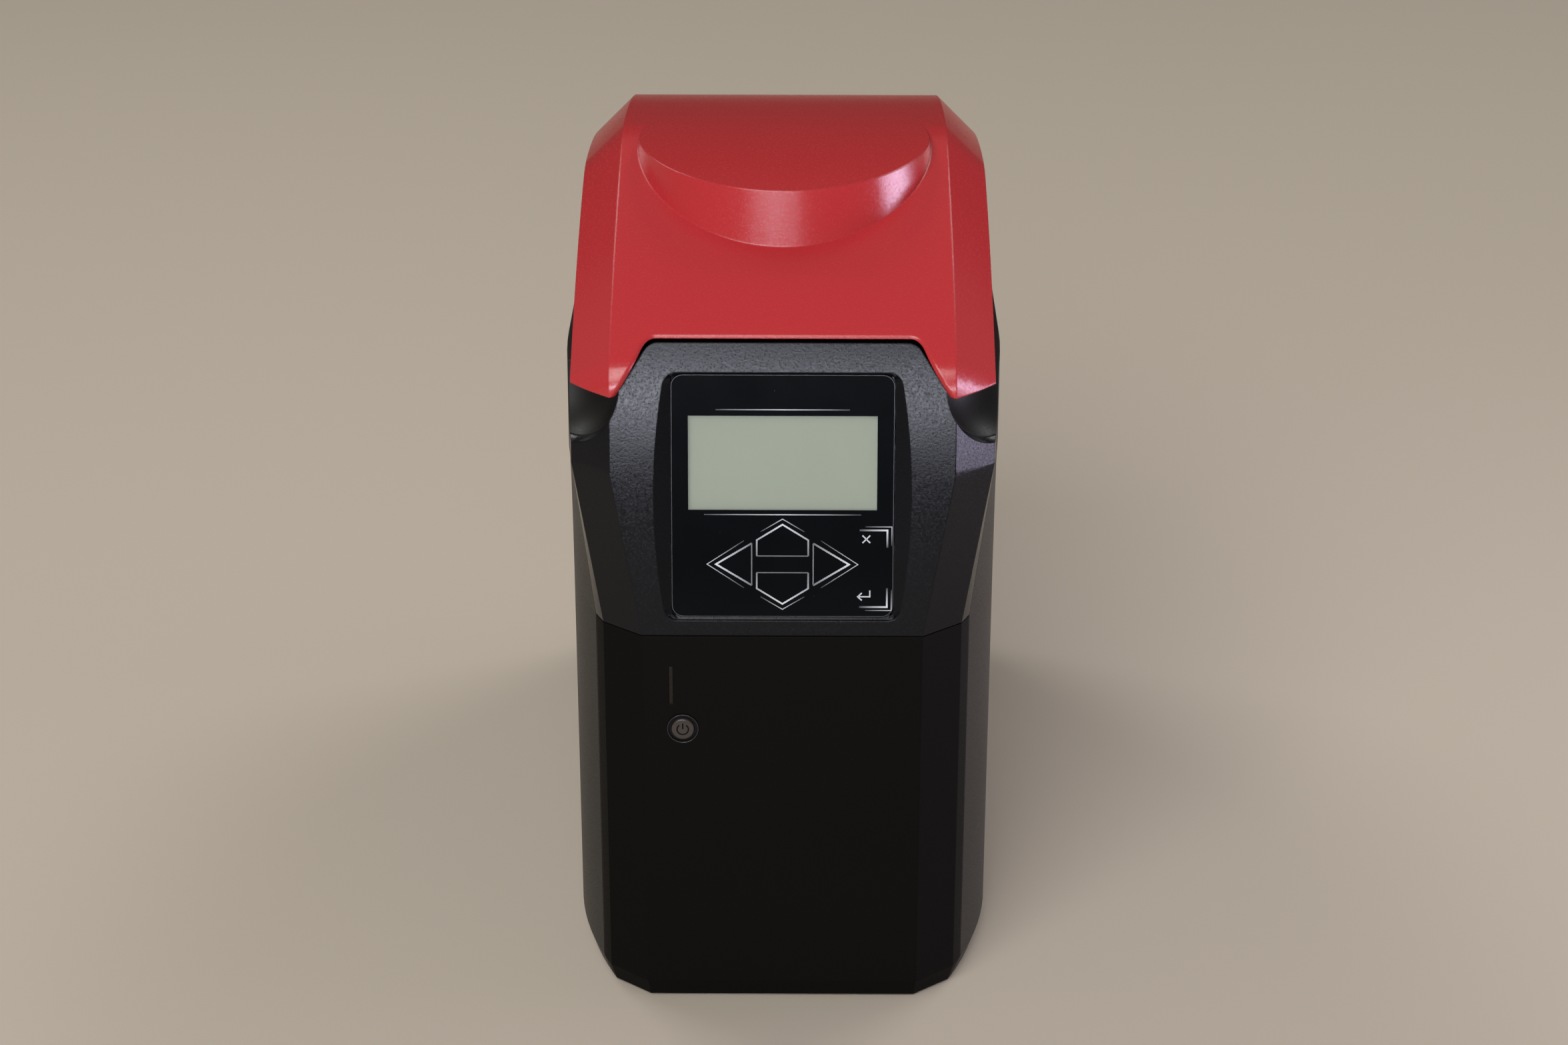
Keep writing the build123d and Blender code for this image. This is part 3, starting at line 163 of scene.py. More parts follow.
# Textured ABS: a cool dark grey that glows towards the light and falls off to black.
# The pebbles are about 0.3 mm, and are drawn at 0.8 mm so that they show.
charcoal_abs = moulded("leather_grained_charcoal_abs", "#07080c", "#0c0d12", 0.22, 0.8, 0.03, shine=0.19,
                       edge_mm=0.6)
LEAN = math.radians(11.0)
SEAM_HIGH, PANEL_LONG, CROWN, BAY_DEEP = 144.0, 101.0, 2.5, 1.4
CREASE_HALF, CREASE_SPREAD, CREASE_RISE = 47.6, 10.4, 55.0
FACET_WIDE, FACET_TURN = 13.8, math.atan2(11.0, 13.8)
FILM_HALF, FILM_LOW, FILM_HIGH, FILM_SINK = 37.8, 6.4, 90.4, 0.62
BAY_HALF, BAY_LOW, BAY_HIGH = 44.0, 5.0, 91.6
WALL_SHARE, SKIN_DEEP, CROWN_SLICES = 0.3, 1.2, 26
panel_up = Vector((0, math.sin(LEAN), math.cos(LEAN)))
panel_out = Vector((0, -math.cos(LEAN), math.sin(LEAN)))
panel_foot = Vector((0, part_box("lower_front_panel")[0].y, SEAM_HIGH * MM))


def joined(name):
    """A copy of a CAD node with its triangles merged and its flat areas made whole."""
    mesh = bmesh.new()
    mesh.from_mesh(nodes[name].data)
    bmesh.ops.remove_doubles(mesh, verts=mesh.verts, dist=0.003 * MM)
    bmesh.ops.dissolve_limit(mesh, angle_limit=math.radians(0.4), verts=mesh.verts, edges=mesh.edges)
    return mesh


def corner(edge):
    """How sharply the surface turns at an edge, in degrees."""
    return math.degrees(edge.calc_face_angle(0.0))


def placed(name, data):
    """Puts a mesh, lamp or camera into the scene as an object."""
    thing = bpy.data.objects.new(name, data)
    bpy.context.collection.objects.link(thing)
    return thing


def moulding(name, node, mesh, finish, body, soft=32):
    """Stands a reshaped copy in for its CAD node, shaded smooth up to a corner of some degrees."""
    for face in mesh.faces:
        face.smooth = True
    for edge in mesh.edges:
        edge.smooth = corner(edge) < soft
    data = bpy.data.meshes.new(name)
    mesh.to_mesh(data)
    mesh.free()
    data.materials.append(finish)
    piece = placed(name, data)
    shading = piece.modifiers.new("even_shading", "WEIGHTED_NORMAL")
    shading.keep_sharp = True
    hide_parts(node)
    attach(piece, body)
    return piece


def ease(level):
    """A level kept between nought and one."""
    return min(1.0, max(0.0, level))


def crowned(mesh):
    """Crowns the leaning front along its height, and slopes the bay's walls in to the film."""
    bmesh.ops.triangulate(mesh, faces=mesh.faces)
    for step in range(1, CROWN_SLICES):
        bmesh.ops.bisect_plane(mesh, geom=mesh.verts[:] + mesh.edges[:] + mesh.faces[:],
                               plane_co=panel_foot + panel_up * (PANEL_LONG * MM * step / CROWN_SLICES),
                               plane_no=panel_up, dist=1e-6)
    for vertex in mesh.verts:
        place = (vertex.co - panel_foot) / MM
        v, depth = place.dot(panel_up), -place.dot(panel_out)
        x, side = abs(place.x), math.copysign(1.0, place.x)
        crease = CREASE_HALF + CREASE_SPREAD * ease(place.z / CREASE_RISE)
        facet_depth = max(0.0, x - crease) * math.tan(FACET_TURN)
        lift = CROWN * 4 * ease(v / PANEL_LONG) * (1 - ease(v / PANEL_LONG))
        in_bay = x < BAY_HALF and BAY_LOW < v < BAY_HIGH and depth > 0.02
        at_wall = x > FILM_HALF - WALL_SHARE or v < FILM_LOW or v > FILM_HIGH
        if in_bay:
            down = ease(depth / BAY_DEEP)
            if at_wall and depth < BAY_DEEP + 0.05:
                depth = -lift * (1 - down) + down * FILM_SINK
            x = x + (min(x, FILM_HALF) - x) * down
        else:
            skin = ease(SKIN_DEEP - abs(depth - facet_depth))
            depth -= lift * skin * ease(1 - (x - crease) / FACET_WIDE)
        vertex.co = panel_foot + (Vector((side * x, 0, 0)) + panel_up * v - panel_out * depth) * MM
    bmesh.ops.remove_doubles(mesh, verts=mesh.verts, dist=0.01 * MM)


bezel = joined("display_bezel")
crowned(bezel)
moulding("display_bezel_moulding", "display_bezel", bezel, charcoal_abs, "base", soft=9)

# ---- Keypad film ---------------------------------------------------------
# A smooth black polyester film, reverse printed, glued into the bay. It is
# glossy, slightly blue in the light, and has a few specks of dust on it.

# Polyester is smooth: a deep black with thin sharp reflections and a few pale specks.
film, tree, place = blank("gloss_polyester_film")
film_gloss = ranged(tree, noise(tree, place, 14.0, Detail=4.0), 0.07, 0.13)
dust = add(tree, "ShaderNodeTexVoronoi", {"Vector": place, "Scale": 1 / (6.0 * MM), "Randomness": 1.0})
speck = ranged(tree, dust.outputs["Distance"], 1.0, 0.0, 0.012, 0.022)
surface(tree, Base_Color=tinted(tree, speck, "#05080b", "#5a5d63"), Roughness=film_gloss, IOR=1.6,
        Specular_IOR_Level=0.11)
dress(film, "keypad_membrane")

# ---- Keypad legends ------------------------------------------------------
# Grey and white ink under the film: four arrow keys, two corner brackets with
# a cross and a return arrow, and a line above and below the display. The ink
# is brightest at the tips and fades out along each stroke.
PAD_THICK = 0.8
INK_LIFT = 0.03
pad_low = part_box("keypad_membrane")[0]
pad_foot = Vector((0, pad_low.y, pad_low.z + PAD_THICK * MM * math.sin(LEAN)))
legend_and_highlight_strokes = bmesh.new()
ink_and_highlight_level = legend_and_highlight_strokes.verts.layers.float.new("ink")


def on_pad(x, v):
    """A point just in front of the film, in millimetres from the middle of its lower edge."""
    return pad_foot + Vector((x * MM, 0, 0)) + panel_up * (v * MM) + panel_out * (INK_LIFT * MM)


def stroke(points, levels, width, closed=False):
    """A flat line of one width through points, with a level of the pale ink at each: print, and on the
    film's edge a painted highlight.
    """
    count = len(points)
    rows = []
    for i, point in enumerate(points):
        here = Vector(point)
        back = here - Vector(points[i - 1]) if closed or i > 0 else Vector(points[1]) - here
        ahead = Vector(points[(i + 1) % count]) - here if closed or i < count - 1 else back
        back, ahead = back.normalized(), ahead.normalized()
        side = Vector((-back.y - ahead.y, back.x + ahead.x)).normalized()
        reach = width / 2 / max(0.35, side.dot(Vector((-ahead.y, ahead.x))))
        row = [legend_and_highlight_strokes.verts.new(on_pad(*(here + side * s * reach))) for s in (-1, 1)]
        for vertex in row:
            vertex[ink_and_highlight_level] = levels[i]
        rows.append(row)
    for i in range(count if closed else count - 1):
        a, b = rows[i], rows[(i + 1) % count]
        legend_and_highlight_strokes.faces.new((a[0], a[1], b[1], b[0]))


def finished(name, mesh, finish, body):
    """Turns a bmesh into a piece that rides on a body."""
    bmesh.ops.recalc_face_normals(mesh, faces=mesh.faces)
    data = bpy.data.meshes.new(name)
    mesh.to_mesh(data)
    mesh.free()
    data.materials.append(finish)
    piece = placed(name, data)
    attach(piece, body)


# The arrow keys stand in a cross, each with a fainter echo of its tip outside it.
CROSS_V = 18.4
KEY_HALF, KEY_FOOT, KEY_SHOULDER, KEY_TIP = 8.7, 2.9, 8.4, 13.8
TIP_HALF, TIP_LOW, TIP_HIGH = 7.4, 11.3, 15.7
SIDE_FOOT, SIDE_HALF, SIDE_TIP = 10.4, 7.3, 22.5
ECHO_FOOT, ECHO_HALF, ECHO_TIP = 13.0, 8.2, 25.5
ECHO, ECHO_LINE = [0.0, 0.75, 0.0], 0.28
for side in (-1, 1):
    foot, shoulder = CROSS_V + KEY_FOOT * side, CROSS_V + KEY_SHOULDER * side
    low, high = CROSS_V + TIP_LOW * side, CROSS_V + TIP_HIGH * side
    key = [(-KEY_HALF, foot), (-KEY_HALF, shoulder), (0, CROSS_V + KEY_TIP * side), (KEY_HALF, shoulder),
           (KEY_HALF, foot)]
    stroke(key, [0.22, 0.5, 1.0, 0.5, 0.22], 0.55)
    stroke([key[0], key[4]], [0.2, 0.2], 0.35)
    stroke([(-TIP_HALF, low), (0, high), (TIP_HALF, low)], ECHO, ECHO_LINE)
    arrow = [(SIDE_FOOT * side, CROSS_V - SIDE_HALF), (SIDE_TIP * side, CROSS_V),
             (SIDE_FOOT * side, CROSS_V + SIDE_HALF)]
    stroke(arrow, [0.2, 1.0, 0.2], 0.6)
    stroke([arrow[0], arrow[2]], [0.2, 0.2], 0.4)
    stroke([(ECHO_FOOT * side, CROSS_V - ECHO_HALF), (ECHO_TIP * side, CROSS_V),
            (ECHO_FOOT * side, CROSS_V + ECHO_HALF)], ECHO, ECHO_LINE)

# Corner brackets mark the other two keys, each a thin line outside a thick one.
OUTER_X, INNER_X, BRACKET_GAP = 36.9, 35.4, 1.2
for turn, top, low in ((1, 31.5, 24.3), (-1, 2.4, 10.2)):
    stroke([(28.0, top), (OUTER_X, top), (OUTER_X, low + turn * 0.6)], [0.0, 0.75, 0.0], 0.3)
    inner = top - BRACKET_GAP * turn
    stroke([(26.0, inner), (INNER_X, inner), (INNER_X, low)], [0.0, 1.0, 0.0], 0.6)

# Painted highlight on the film's cut edge: a faint line of the pale ink, brighter at its foot and down its
# right side.
EDGE_HALF, EDGE_LOW, EDGE_HIGH, EDGE_ROUND, EDGE_LINE = 37.35, 0.25, 83.35, 3.75, 0.2
CORNER_STEPS, CORNER_TURN = 6, 18
outline = []
for middle_x, middle_v, start in ((EDGE_HALF, EDGE_HIGH, 0), (-EDGE_HALF, EDGE_HIGH, 90),
                                  (-EDGE_HALF, EDGE_LOW, 180), (EDGE_HALF, EDGE_LOW, 270)):
    inward = EDGE_ROUND if start >= 180 else -EDGE_ROUND
    for step in range(CORNER_STEPS):
        way = math.radians(start + CORNER_TURN * step)
        outline.append((middle_x - math.copysign(EDGE_ROUND, middle_x) + EDGE_ROUND * math.cos(way),
                        middle_v + inward + EDGE_ROUND * math.sin(way)))
stroke(outline, [0.035 * (v < 20) + 0.015 * (x > 0) for x, v in outline], EDGE_LINE, closed=True)

# A line over the display and one under it, then the cross and the return arrow.
for v, reach in ((71.6, 22.5), (35.6, 26.5)):
    stroke([(-reach, v), (0, v), (reach, v)], [0.0, 0.95, 0.0], 0.32)
SIGN_INK, SIGN_LINE = 0.85, 0.45
for side in (-1, 1):
    stroke([(27.0, 27.2 + 1.3 * side), (29.6, 27.2 - 1.3 * side)], [SIGN_INK] * 2, SIGN_LINE)
stroke([(29.6, 9.4), (29.6, 7.2), (25.6, 7.2)], [SIGN_INK] * 3, SIGN_LINE)
stroke([(26.9, 8.5), (25.5, 7.2), (26.9, 5.9)], [SIGN_INK] * 3, SIGN_LINE)

# Screen ink behind the film: a flat pale grey, thinned out by a halftone at its ends. The same ink draws the
# painted highlight on the film's edge.
print_and_painted_highlight, tree, place = blank("white_screen_ink_and_painted_highlight")
level = add(tree, "ShaderNodeAttribute", attribute_name="ink")
surface(tree, Base_Color=tinted(tree, level.outputs["Fac"], "#0d0f14", "#c9cbd0"), Roughness=0.3, IOR=1.5)
# The legends piece also carries the painted highlight on the film's edge.
finished("key_legends", legend_and_highlight_strokes, print_and_painted_highlight, "base")

# ---- Display -------------------------------------------------------------
# A reflective liquid crystal module, switched off: pale grey green, a little
# darker to its edges, behind a clear window set flush in the film.

# Unlit liquid crystal over a matt reflector: an even grey green with faint clouds.
lcd, tree, place = blank("reflective_lcd")
cloud = noise(tree, place, 25.0, Detail=2.0)
surface(tree, Base_Color=tinted(tree, cloud, "#6c7a5f", "#758368"), Roughness=0.5, IOR=1.5)
dress(lcd, "lcd_module")

# Polished acrylic: nearly unseen, but for a slight sheen.
clear, tree, place = blank("clear_acrylic_window")
polish = ranged(tree, noise(tree, place, 9.0), 0.06, 0.12)
surface(tree, Base_Color=ink("#dfe4da"), Roughness=polish, Alpha=0.14, IOR=1.49)
dress(clear, "display_window")

# ---- Power button --------------------------------------------------------
# A dull bronze grey cap with a printed standby sign, in a turned ring. The
# slot above it has a clear guide that only shows when the lamp is lit.

# Metallic lacquer on the cap: a warm dull grey, a little lighter in small patches.
cap_paint = moulded("bronze_grey_lacquer", "#2c2622", "#37302b", 0.35, 0.15, 0.004, patch_mm=3.0)
dress(cap_paint, "power_button")
# Turned steel coloured near black: painted shade for the dark groove round the cap, with almost no shine.
groove_painted_shade = moulded("turned_steel_painted_groove_shade", "#0b0a0b", "#100f10", 0.4, 0.12, 0.004, patch_mm=4.0,
                     shine=0.15)
dress(groove_painted_shade, "power_button_ring")
# Smoked polycarbonate, unlit: a thin brown grey line.
guide_clear = moulded("smoked_light_guide", "#191715", "#211e1b", 0.3, 0.4, 0.002, shine=0.15)
dress(guide_clear, "light_guide")

cap_low, cap_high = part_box("power_button")
cap_middle = (cap_low + cap_high) / 2
SIGN_RADIUS, SIGN_WIDTH, SIGN_GAP, SIGN_PROUD = 1.95, 0.5, 36.0, 0.02
BAR_FOOT, BAR_TOP, ARC_STEPS = 0.1, 2.3, 40
sign = bmesh.new()


def on_cap(x, z):
    """A corner of the sign, in millimetres from the middle of the cap."""
    return sign.verts.new((cap_middle.x + x * MM, cap_low.y - SIGN_PROUD * MM, cap_middle.z + z * MM))


rows = []
for i in range(ARC_STEPS + 1):
    turn = math.radians(SIGN_GAP + (360 - 2 * SIGN_GAP) * i / ARC_STEPS)
    rows.append([on_cap(math.sin(turn) * r, math.cos(turn) * r)
                 for r in (SIGN_RADIUS - SIGN_WIDTH / 2, SIGN_RADIUS + SIGN_WIDTH / 2)])
for a, b in zip(rows, rows[1:]):
    sign.faces.new((a[0], a[1], b[1], b[0]))
bar = [(s * SIGN_WIDTH / 2, v) for s, v in ((-1, BAR_FOOT), (1, BAR_FOOT), (1, BAR_TOP), (-1, BAR_TOP))]
sign.faces.new([on_cap(x, v) for x, v in bar])
# Pad printed ink: a flat near black.
dark_print = moulded("dark_pad_print", "#070606", "#0b0909", 0.6, 0.3, 0.001, shine=0.1)
finished("standby_sign", sign, dark_print, "power_button")

# A painted highlight: a thin lighter grey line round the ring's outer lip, where its rim catches the light.
RIM_THICK, RIM_RADIUS, RIM_STEPS, RIM_SIDES = 0.1, 5.3, 72, 8
ring_low, ring_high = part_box("power_button_ring")
ring_middle = (ring_low + ring_high) / 2
rim = bmesh.new()
loops = []
for i in range(RIM_STEPS):
    way = 2 * math.pi * i / RIM_STEPS
    out = Vector((math.cos(way), 0, math.sin(way)))
    centre = Vector((ring_middle.x, ring_low.y, ring_middle.z)) + out * RIM_RADIUS * MM
    loops.append([rim.verts.new(centre + (out * math.cos(t) + Vector((0, math.sin(t), 0))) * RIM_THICK * MM)
                  for t in (2 * math.pi * k / RIM_SIDES for k in range(RIM_SIDES))])
for i, loop in enumerate(loops):
    ahead = loops[(i + 1) % RIM_STEPS]
    for k in range(RIM_SIDES):
        j = (k + 1) % RIM_SIDES
        rim.faces.new((loop[k], loop[j], ahead[j], ahead[k]))
# Steel on the lip: a fine lighter grey line, partly its own sheen and partly a painted highlight.
rim_painted_highlight = moulded("turned_steel_painted_rim_highlight", "#2c2c2e", "#363638", 0.3, 0.12, 0.004, patch_mm=4.0)
finished("button_ring_lip_painted_highlight", rim, rim_painted_highlight, "base")

# ---- Lid -----------------------------------------------------------------
# The red lid is one ABS moulding with a satin grain a little finer than the
# body's, and rolled edges where it meets the hand.

# Satin ABS coloured right through: a full red with soft highlights and a slight
# orange peel, about 0.4 mm across, drawn at 0.8 mm so that it shows.
red_abs = moulded("satin_red_abs", "#ac262a", "#b32c30", 0.24, 0.8, 0.022, patch_mm=90.0, shine=0.55,
                  edge_mm=0.8)

# The edge of the arch over the display is rolled: a swept block takes its corner
# off, and leaves a narrow land that faces forward and runs into the slope.
ARCH_HALF, ARCH_FOOT, ARCH_TOP, ARCH_LOW, ARCH_ROUND = 45.4, 55.4, 244.9, 229.2, 5.5
LEG_STEPS, ROUND_STEPS, PAST_FOOT = 12, 9, 2.5
LAND, RUN_OUT, LAND_STEEP = 0.75, 1.65, 1.24
LAND_STEPS = (0.0, 0.25, 0.5, LAND, 0.93, 1.11, 1.29, 1.47, RUN_OUT, 1.8)
CLEAR_FRONT, CLEAR_SIDE, CLEAR_SKIN = -170.0, 2, 0.06


def arch_outline():
    """Points along the arch, each with its direction into the lid, in millimetres."""
    rise = ARCH_TOP - ARCH_LOW
    tilt = math.atan2(rise, ARCH_FOOT - ARCH_HALF)
    tangent = ARCH_ROUND * math.tan(tilt / 2)
    across, up = math.cos(tilt), math.sin(tilt)
    half = []
    for i in range(LEG_STEPS + 1):
        back = tangent + (rise / up + PAST_FOOT - tangent) * (1 - i / LEG_STEPS)
        half.append((ARCH_HALF + across * back, ARCH_TOP - up * back, up, across))
    for i in range(1, ROUND_STEPS + 1):
        turn = math.pi / 2 - tilt * (1 - i / ROUND_STEPS)
        out = (math.cos(turn), math.sin(turn))
        half.append((ARCH_HALF - tangent + ARCH_ROUND * out[0],
                     ARCH_TOP - ARCH_ROUND + ARCH_ROUND * out[1], *out))
    return half + [(-x, z, -mx, mz) for x, z, mx, mz in reversed(half)]


def land_sink(s):
    """How deep the land lies under the lid's skin, some way in from the arch."""
    if s < LAND:
        return LAND_STEEP * (LAND - s + (RUN_OUT - LAND) / 2)
    return LAND_STEEP * max(0.0, RUN_OUT - s) ** 2 / (2 * (RUN_OUT - LAND))


def arch_cutter(skin):
    """The swept block, whose back follows the lid's skin and the land under it."""
    cutter = bmesh.new()
    rings = []
    for x, z, mx, mz in arch_outline():
        ring = []
        for s in LAND_STEPS:
            reach = max(0.02, s)
            px, pz = x + mx * reach, max(ARCH_LOW + 0.05, z + mz * reach)
            hit = skin.ray_cast(Vector((px * MM, -0.3, pz * MM)), Vector((0, 1, 0)))[0]
            near = hit.y / MM + land_sink(s) - (CLEAR_SKIN if s > RUN_OUT else 0.0)
            ring.append((x + mx * s, near, z + mz * s))
        ring = [(x - mx * CLEAR_SIDE, ring[0][1] + 1.0, z - mz * CLEAR_SIDE)] + ring
        ring = [(ring[0][0], CLEAR_FRONT, ring[0][2])] + ring + [(ring[-1][0], CLEAR_FRONT, ring[-1][2])]
        rings.append([cutter.verts.new(Vector(point) * MM) for point in ring])
    for near, far in zip(rings, rings[1:]):
        for i in range(len(near)):
            j = (i + 1) % len(near)
            cutter.faces.new((near[i], near[j], far[j], far[i]))
    cutter.faces.new(rings[0])
    cutter.faces.new(list(reversed(rings[-1])))
    bmesh.ops.recalc_face_normals(cutter, faces=cutter.faces)
    return cutter


def rolled_edge(mesh):
    """Cuts the land round the arch out of the lid's copy."""
    cutter = arch_cutter(BVHTree.FromBMesh(mesh))
    plain, tool = bpy.data.meshes.new("lid_copy"), bpy.data.meshes.new("arch_cutter")
    mesh.to_mesh(plain)
    cutter.to_mesh(tool)
    cutter.free()
    lid_copy, block = placed("lid_copy", plain), placed("arch_cutter", tool)
    cut = lid_copy.modifiers.new("roll", "BOOLEAN")
    cut.operation, cut.solver, cut.object = "DIFFERENCE", "EXACT", block
    shaped = bpy.data.meshes.new_from_object(lid_copy.evaluated_get(bpy.context.evaluated_depsgraph_get()))
    mesh.clear()
    mesh.from_mesh(shaped)
    for thing in (lid_copy, block):
        bpy.data.objects.remove(thing)
    bmesh.ops.remove_doubles(mesh, verts=mesh.verts, dist=0.005 * MM)


lid = joined("lid_shell")
rolled_edge(lid)
moulding("lid_moulding", "lid_shell", lid, red_abs, "lid")
# Moulded foam rubber: a dull dark grey with open pores.
liner_foam = moulded("black_foam_rubber", "#1b1b1b", "#242424", 0.75, 1.2, 0.08)
dress(liner_foam, "lid_liner", "interlock_tab")

# ---- Deck and chamber ----------------------------------------------------
# A black deck plate with a drawn stainless cup, a rubber gasket on its rolled
# flange, rubber strips for the lid, and bright screws and magnets.


LINE_SWING, LINE_DEEP = 0.07, 0.01


def brushed(name, shade, light_shade, dull, line_mm, stretch):
    """Metal with fine lines: noise stretched along one axis, in colour, gloss and height."""
    finish, tree, place = blank(name)
    lined = add(tree, "ShaderNodeMapping", {"Vector": place, "Scale": stretch})
    line = noise(tree, lined.outputs["Vector"], line_mm, Detail=3.0)
    gloss = ranged(tree, line, dull - LINE_SWING, dull + LINE_SWING)
    bump = add(tree, "ShaderNodeBump", {"Height": line, "Distance": LINE_DEEP * MM})
    surface(tree, Base_Color=tinted(tree, line, shade, light_shade), Metallic=1.0, Roughness=gloss,
            Normal=bump.outputs["Normal"])
    return finish


# Stainless steel drawn and then brushed: pale grey with long upright lines.
drawn_steel = brushed("drawn_stainless_steel", "#9a9a98", "#b4b4b1", 0.3, 1.0, (1, 1, 0.08))
# Steel ground to size: bright, with short fine lines.
ground_steel = brushed("ground_bright_steel", "#8f9092", "#a9aaab", 0.22, 0.6, (1, 1, 0.1))
# Phosphated steel: a dark grey with a dry, even sheen.
dark_steel = brushed("phosphated_steel", "#3a3a3b", "#48484a", 0.42, 0.8, (1, 0.2, 1))
# Nitrile rubber: black and dull, without highlights.
soft_rubber = moulded("black_nitrile_rubber", "#151515", "#1f1f1f", 0.82, 0.8, 0.03)
dress(black_abs, "deck_plate")
dress(drawn_steel, "chamber_liner")
dress(ground_steel, "hinge_pins", "deck_magnets", "foot_screws")
dress(dark_steel, "hinge_brackets")
dress(soft_rubber, "chamber_gasket", "seal_strips", "rubber_feet", "drive_isolators", "drive_belt")
dress(liner_foam, "interlock_switch", "button_switch")


def geometry_tree(name, outlet, inputs):
    """A new geometry tree with one outlet, and the sockets of its named inputs."""
    tree = bpy.data.node_groups.new(name, "GeometryNodeTree")
    tree.interface.new_socket(name=outlet, in_out="OUTPUT", socket_type="NodeSocketGeometry")
    for label, kind in inputs.items():
        tree.interface.new_socket(name=label, in_out="INPUT", socket_type="NodeSocket" + kind)
    return tree, add(tree, "NodeGroupInput").outputs


def end_tree(tree, outlet, copies, finish):
    """Makes a tree's copies real, gives them their material and sends them out."""
    whole = add(tree, "GeometryNodeRealizeInstances", {"Geometry": copies})
    dressed = add(tree, "GeometryNodeSetMaterial", {"Geometry": whole.outputs["Geometry"],
                                                   "Material": finish})
    add(tree, "NodeGroupOutput", {outlet: dressed.outputs["Geometry"]})


def set_out(name, tree, places, facing, sizes, body):
    """Runs a tree on points that face a way, and keeps what it makes as one plain mesh."""
    points = bpy.data.meshes.new(name + "_places")
    points.from_pydata([Vector(spot) * MM for spot in places], [], [])
    way = points.attributes.new("facing", "FLOAT_VECTOR", "POINT")
    for spot in way.data:
        spot.vector = facing
    piece = placed(name, points)
    repeat = piece.modifiers.new("repeat", "NODES")
    repeat.node_group = tree
    for socket in tree.interface.items_tree:
        if socket.in_out == "INPUT" and socket.name in sizes:
            repeat[socket.identifier] = sizes[socket.name]
    seen = bpy.context.evaluated_depsgraph_get()
    made = bpy.data.meshes.new_from_object(piece.evaluated_get(seen), depsgraph=seen)
    piece.modifiers.clear()
    piece.data = made
    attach(piece, body)
    return piece


# Button head screws: a domed head with a slot, each stopped at its own angle.
screws, given = geometry_tree("slotted_screws", "Heads", {
    "Places": "Geometry", "Head Radius": "Float", "Head Height": "Float", "Slot Width": "Float",
    "Slot Depth": "Float", "Seed": "Int", "Finish": "Material"})
ball = add(screws, "GeometryNodeMeshUVSphere", {"Segments": 28, "Rings": 14, "Radius": 1.0})
form = add(screws, "ShaderNodeCombineXYZ", {"X": given["Head Radius"], "Y": given["Head Radius"],
                                           "Z": given["Head Height"]})
head = add(screws, "GeometryNodeTransform", {"Geometry": ball.outputs["Mesh"],
                                            "Scale": form.outputs["Vector"]})
groove_long = add(screws, "ShaderNodeMath", {0: given["Head Radius"], 1: 3.0}, operation="MULTIPLY")
groove_deep = add(screws, "ShaderNodeMath", {0: given["Slot Depth"], 1: 2.0}, operation="MULTIPLY")
groove_size = add(screws, "ShaderNodeCombineXYZ", {"X": groove_long.outputs[0], "Y": given["Slot Width"],
                                                  "Z": groove_deep.outputs[0]})
groove_at = add(screws, "ShaderNodeCombineXYZ", {"Z": given["Head Height"]})
block = add(screws, "GeometryNodeMeshCube", {"Size": groove_size.outputs["Vector"]})
groove = add(screws, "GeometryNodeTransform", {"Geometry": block.outputs["Mesh"],
                                              "Translation": groove_at.outputs["Vector"]})
slotted = add(screws, "GeometryNodeMeshBoolean", {
    "Mesh 1": head.outputs["Geometry"], "Mesh 2": groove.outputs["Geometry"]}, operation="DIFFERENCE")
way = add(screws, "GeometryNodeInputNamedAttribute", {"Name": "facing"}, data_type="FLOAT_VECTOR")
stand = add(screws, "FunctionNodeAlignRotationToVector", {"Vector": way.outputs["Attribute"]}, axis="Z")
fitted = add(screws, "GeometryNodeInstanceOnPoints", {
    "Points": given["Places"], "Instance": slotted.outputs[0], "Rotation": stand.outputs["Rotation"]})
angle = add(screws, "FunctionNodeRandomValue", {2: 0.0, 3: math.pi, "Seed": given["Seed"]},
            data_type="FLOAT")
driven = add(screws, "ShaderNodeCombineXYZ", {"Z": angle.outputs[1]})
turned = add(screws, "GeometryNodeRotateInstances", {"Instances": fitted.outputs["Instances"],
                                                    "Rotation": driven.outputs["Vector"]})
end_tree(screws, "Heads", turned.outputs["Instances"], given["Finish"])

SCREW = {"Head Radius": 2.8 * MM, "Head Height": 1.8 * MM, "Slot Width": 0.7 * MM, "Slot Depth": 0.7 * MM,
         "Finish": ground_steel}
DECK_TOP, BACK_FACE = 228.0, 147.95
deck_places = [(x, y, DECK_TOP) for x in (-60.0, 60.0) for y in (-87.55, 90.45)]
deck_heads = set_out("deck_screw_heads", screws, deck_places, (0, 0, 1), {**SCREW, "Seed": 3}, "base")
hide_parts("deck_screws")
rear_places = [(x, BACK_FACE, z) for x in (-49.0, 49.0) for z in (27.0, 114.0, 201.0)]
rear_heads = set_out("rear_screw_heads", screws, rear_places, (0, 1, 0), {**SCREW, "Seed": 8}, "base")
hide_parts("rear_screws")

# ---- Holder, tubes and clamp ---------------------------------------------
# A turned aluminium block with a ring of bores, polypropylene tubes with
# ribbed screw caps, a scalloped clamp disc and a fluted black knob.

# Aluminium turned and clear anodised: a silky light grey.
anodised = brushed("natural_anodised_aluminium", "#a3a6a9", "#b9bbbe", 0.38, 0.8, (0.3, 0.3, 1))
# Sintered bronze: a dull brown gold with a grainy surface.
bronze = brushed("sintered_bronze", "#8a6a3c", "#9a7846", 0.45, 1.2, (1, 1, 1))
# Natural polypropylene: milky and waxy, with a soft sheen.
polypropylene = moulded("frosted_polypropylene", "#cfd3d2", "#dde0df", 0.4, 0.9, 0.01)
dress(anodised, "sample_holder", "clamp_disc", "carriage_block", "guide_bridge", "connecting_rod",
      "crank_pulley", "motor_pulley")
dress(polypropylene, "sample_tubes")

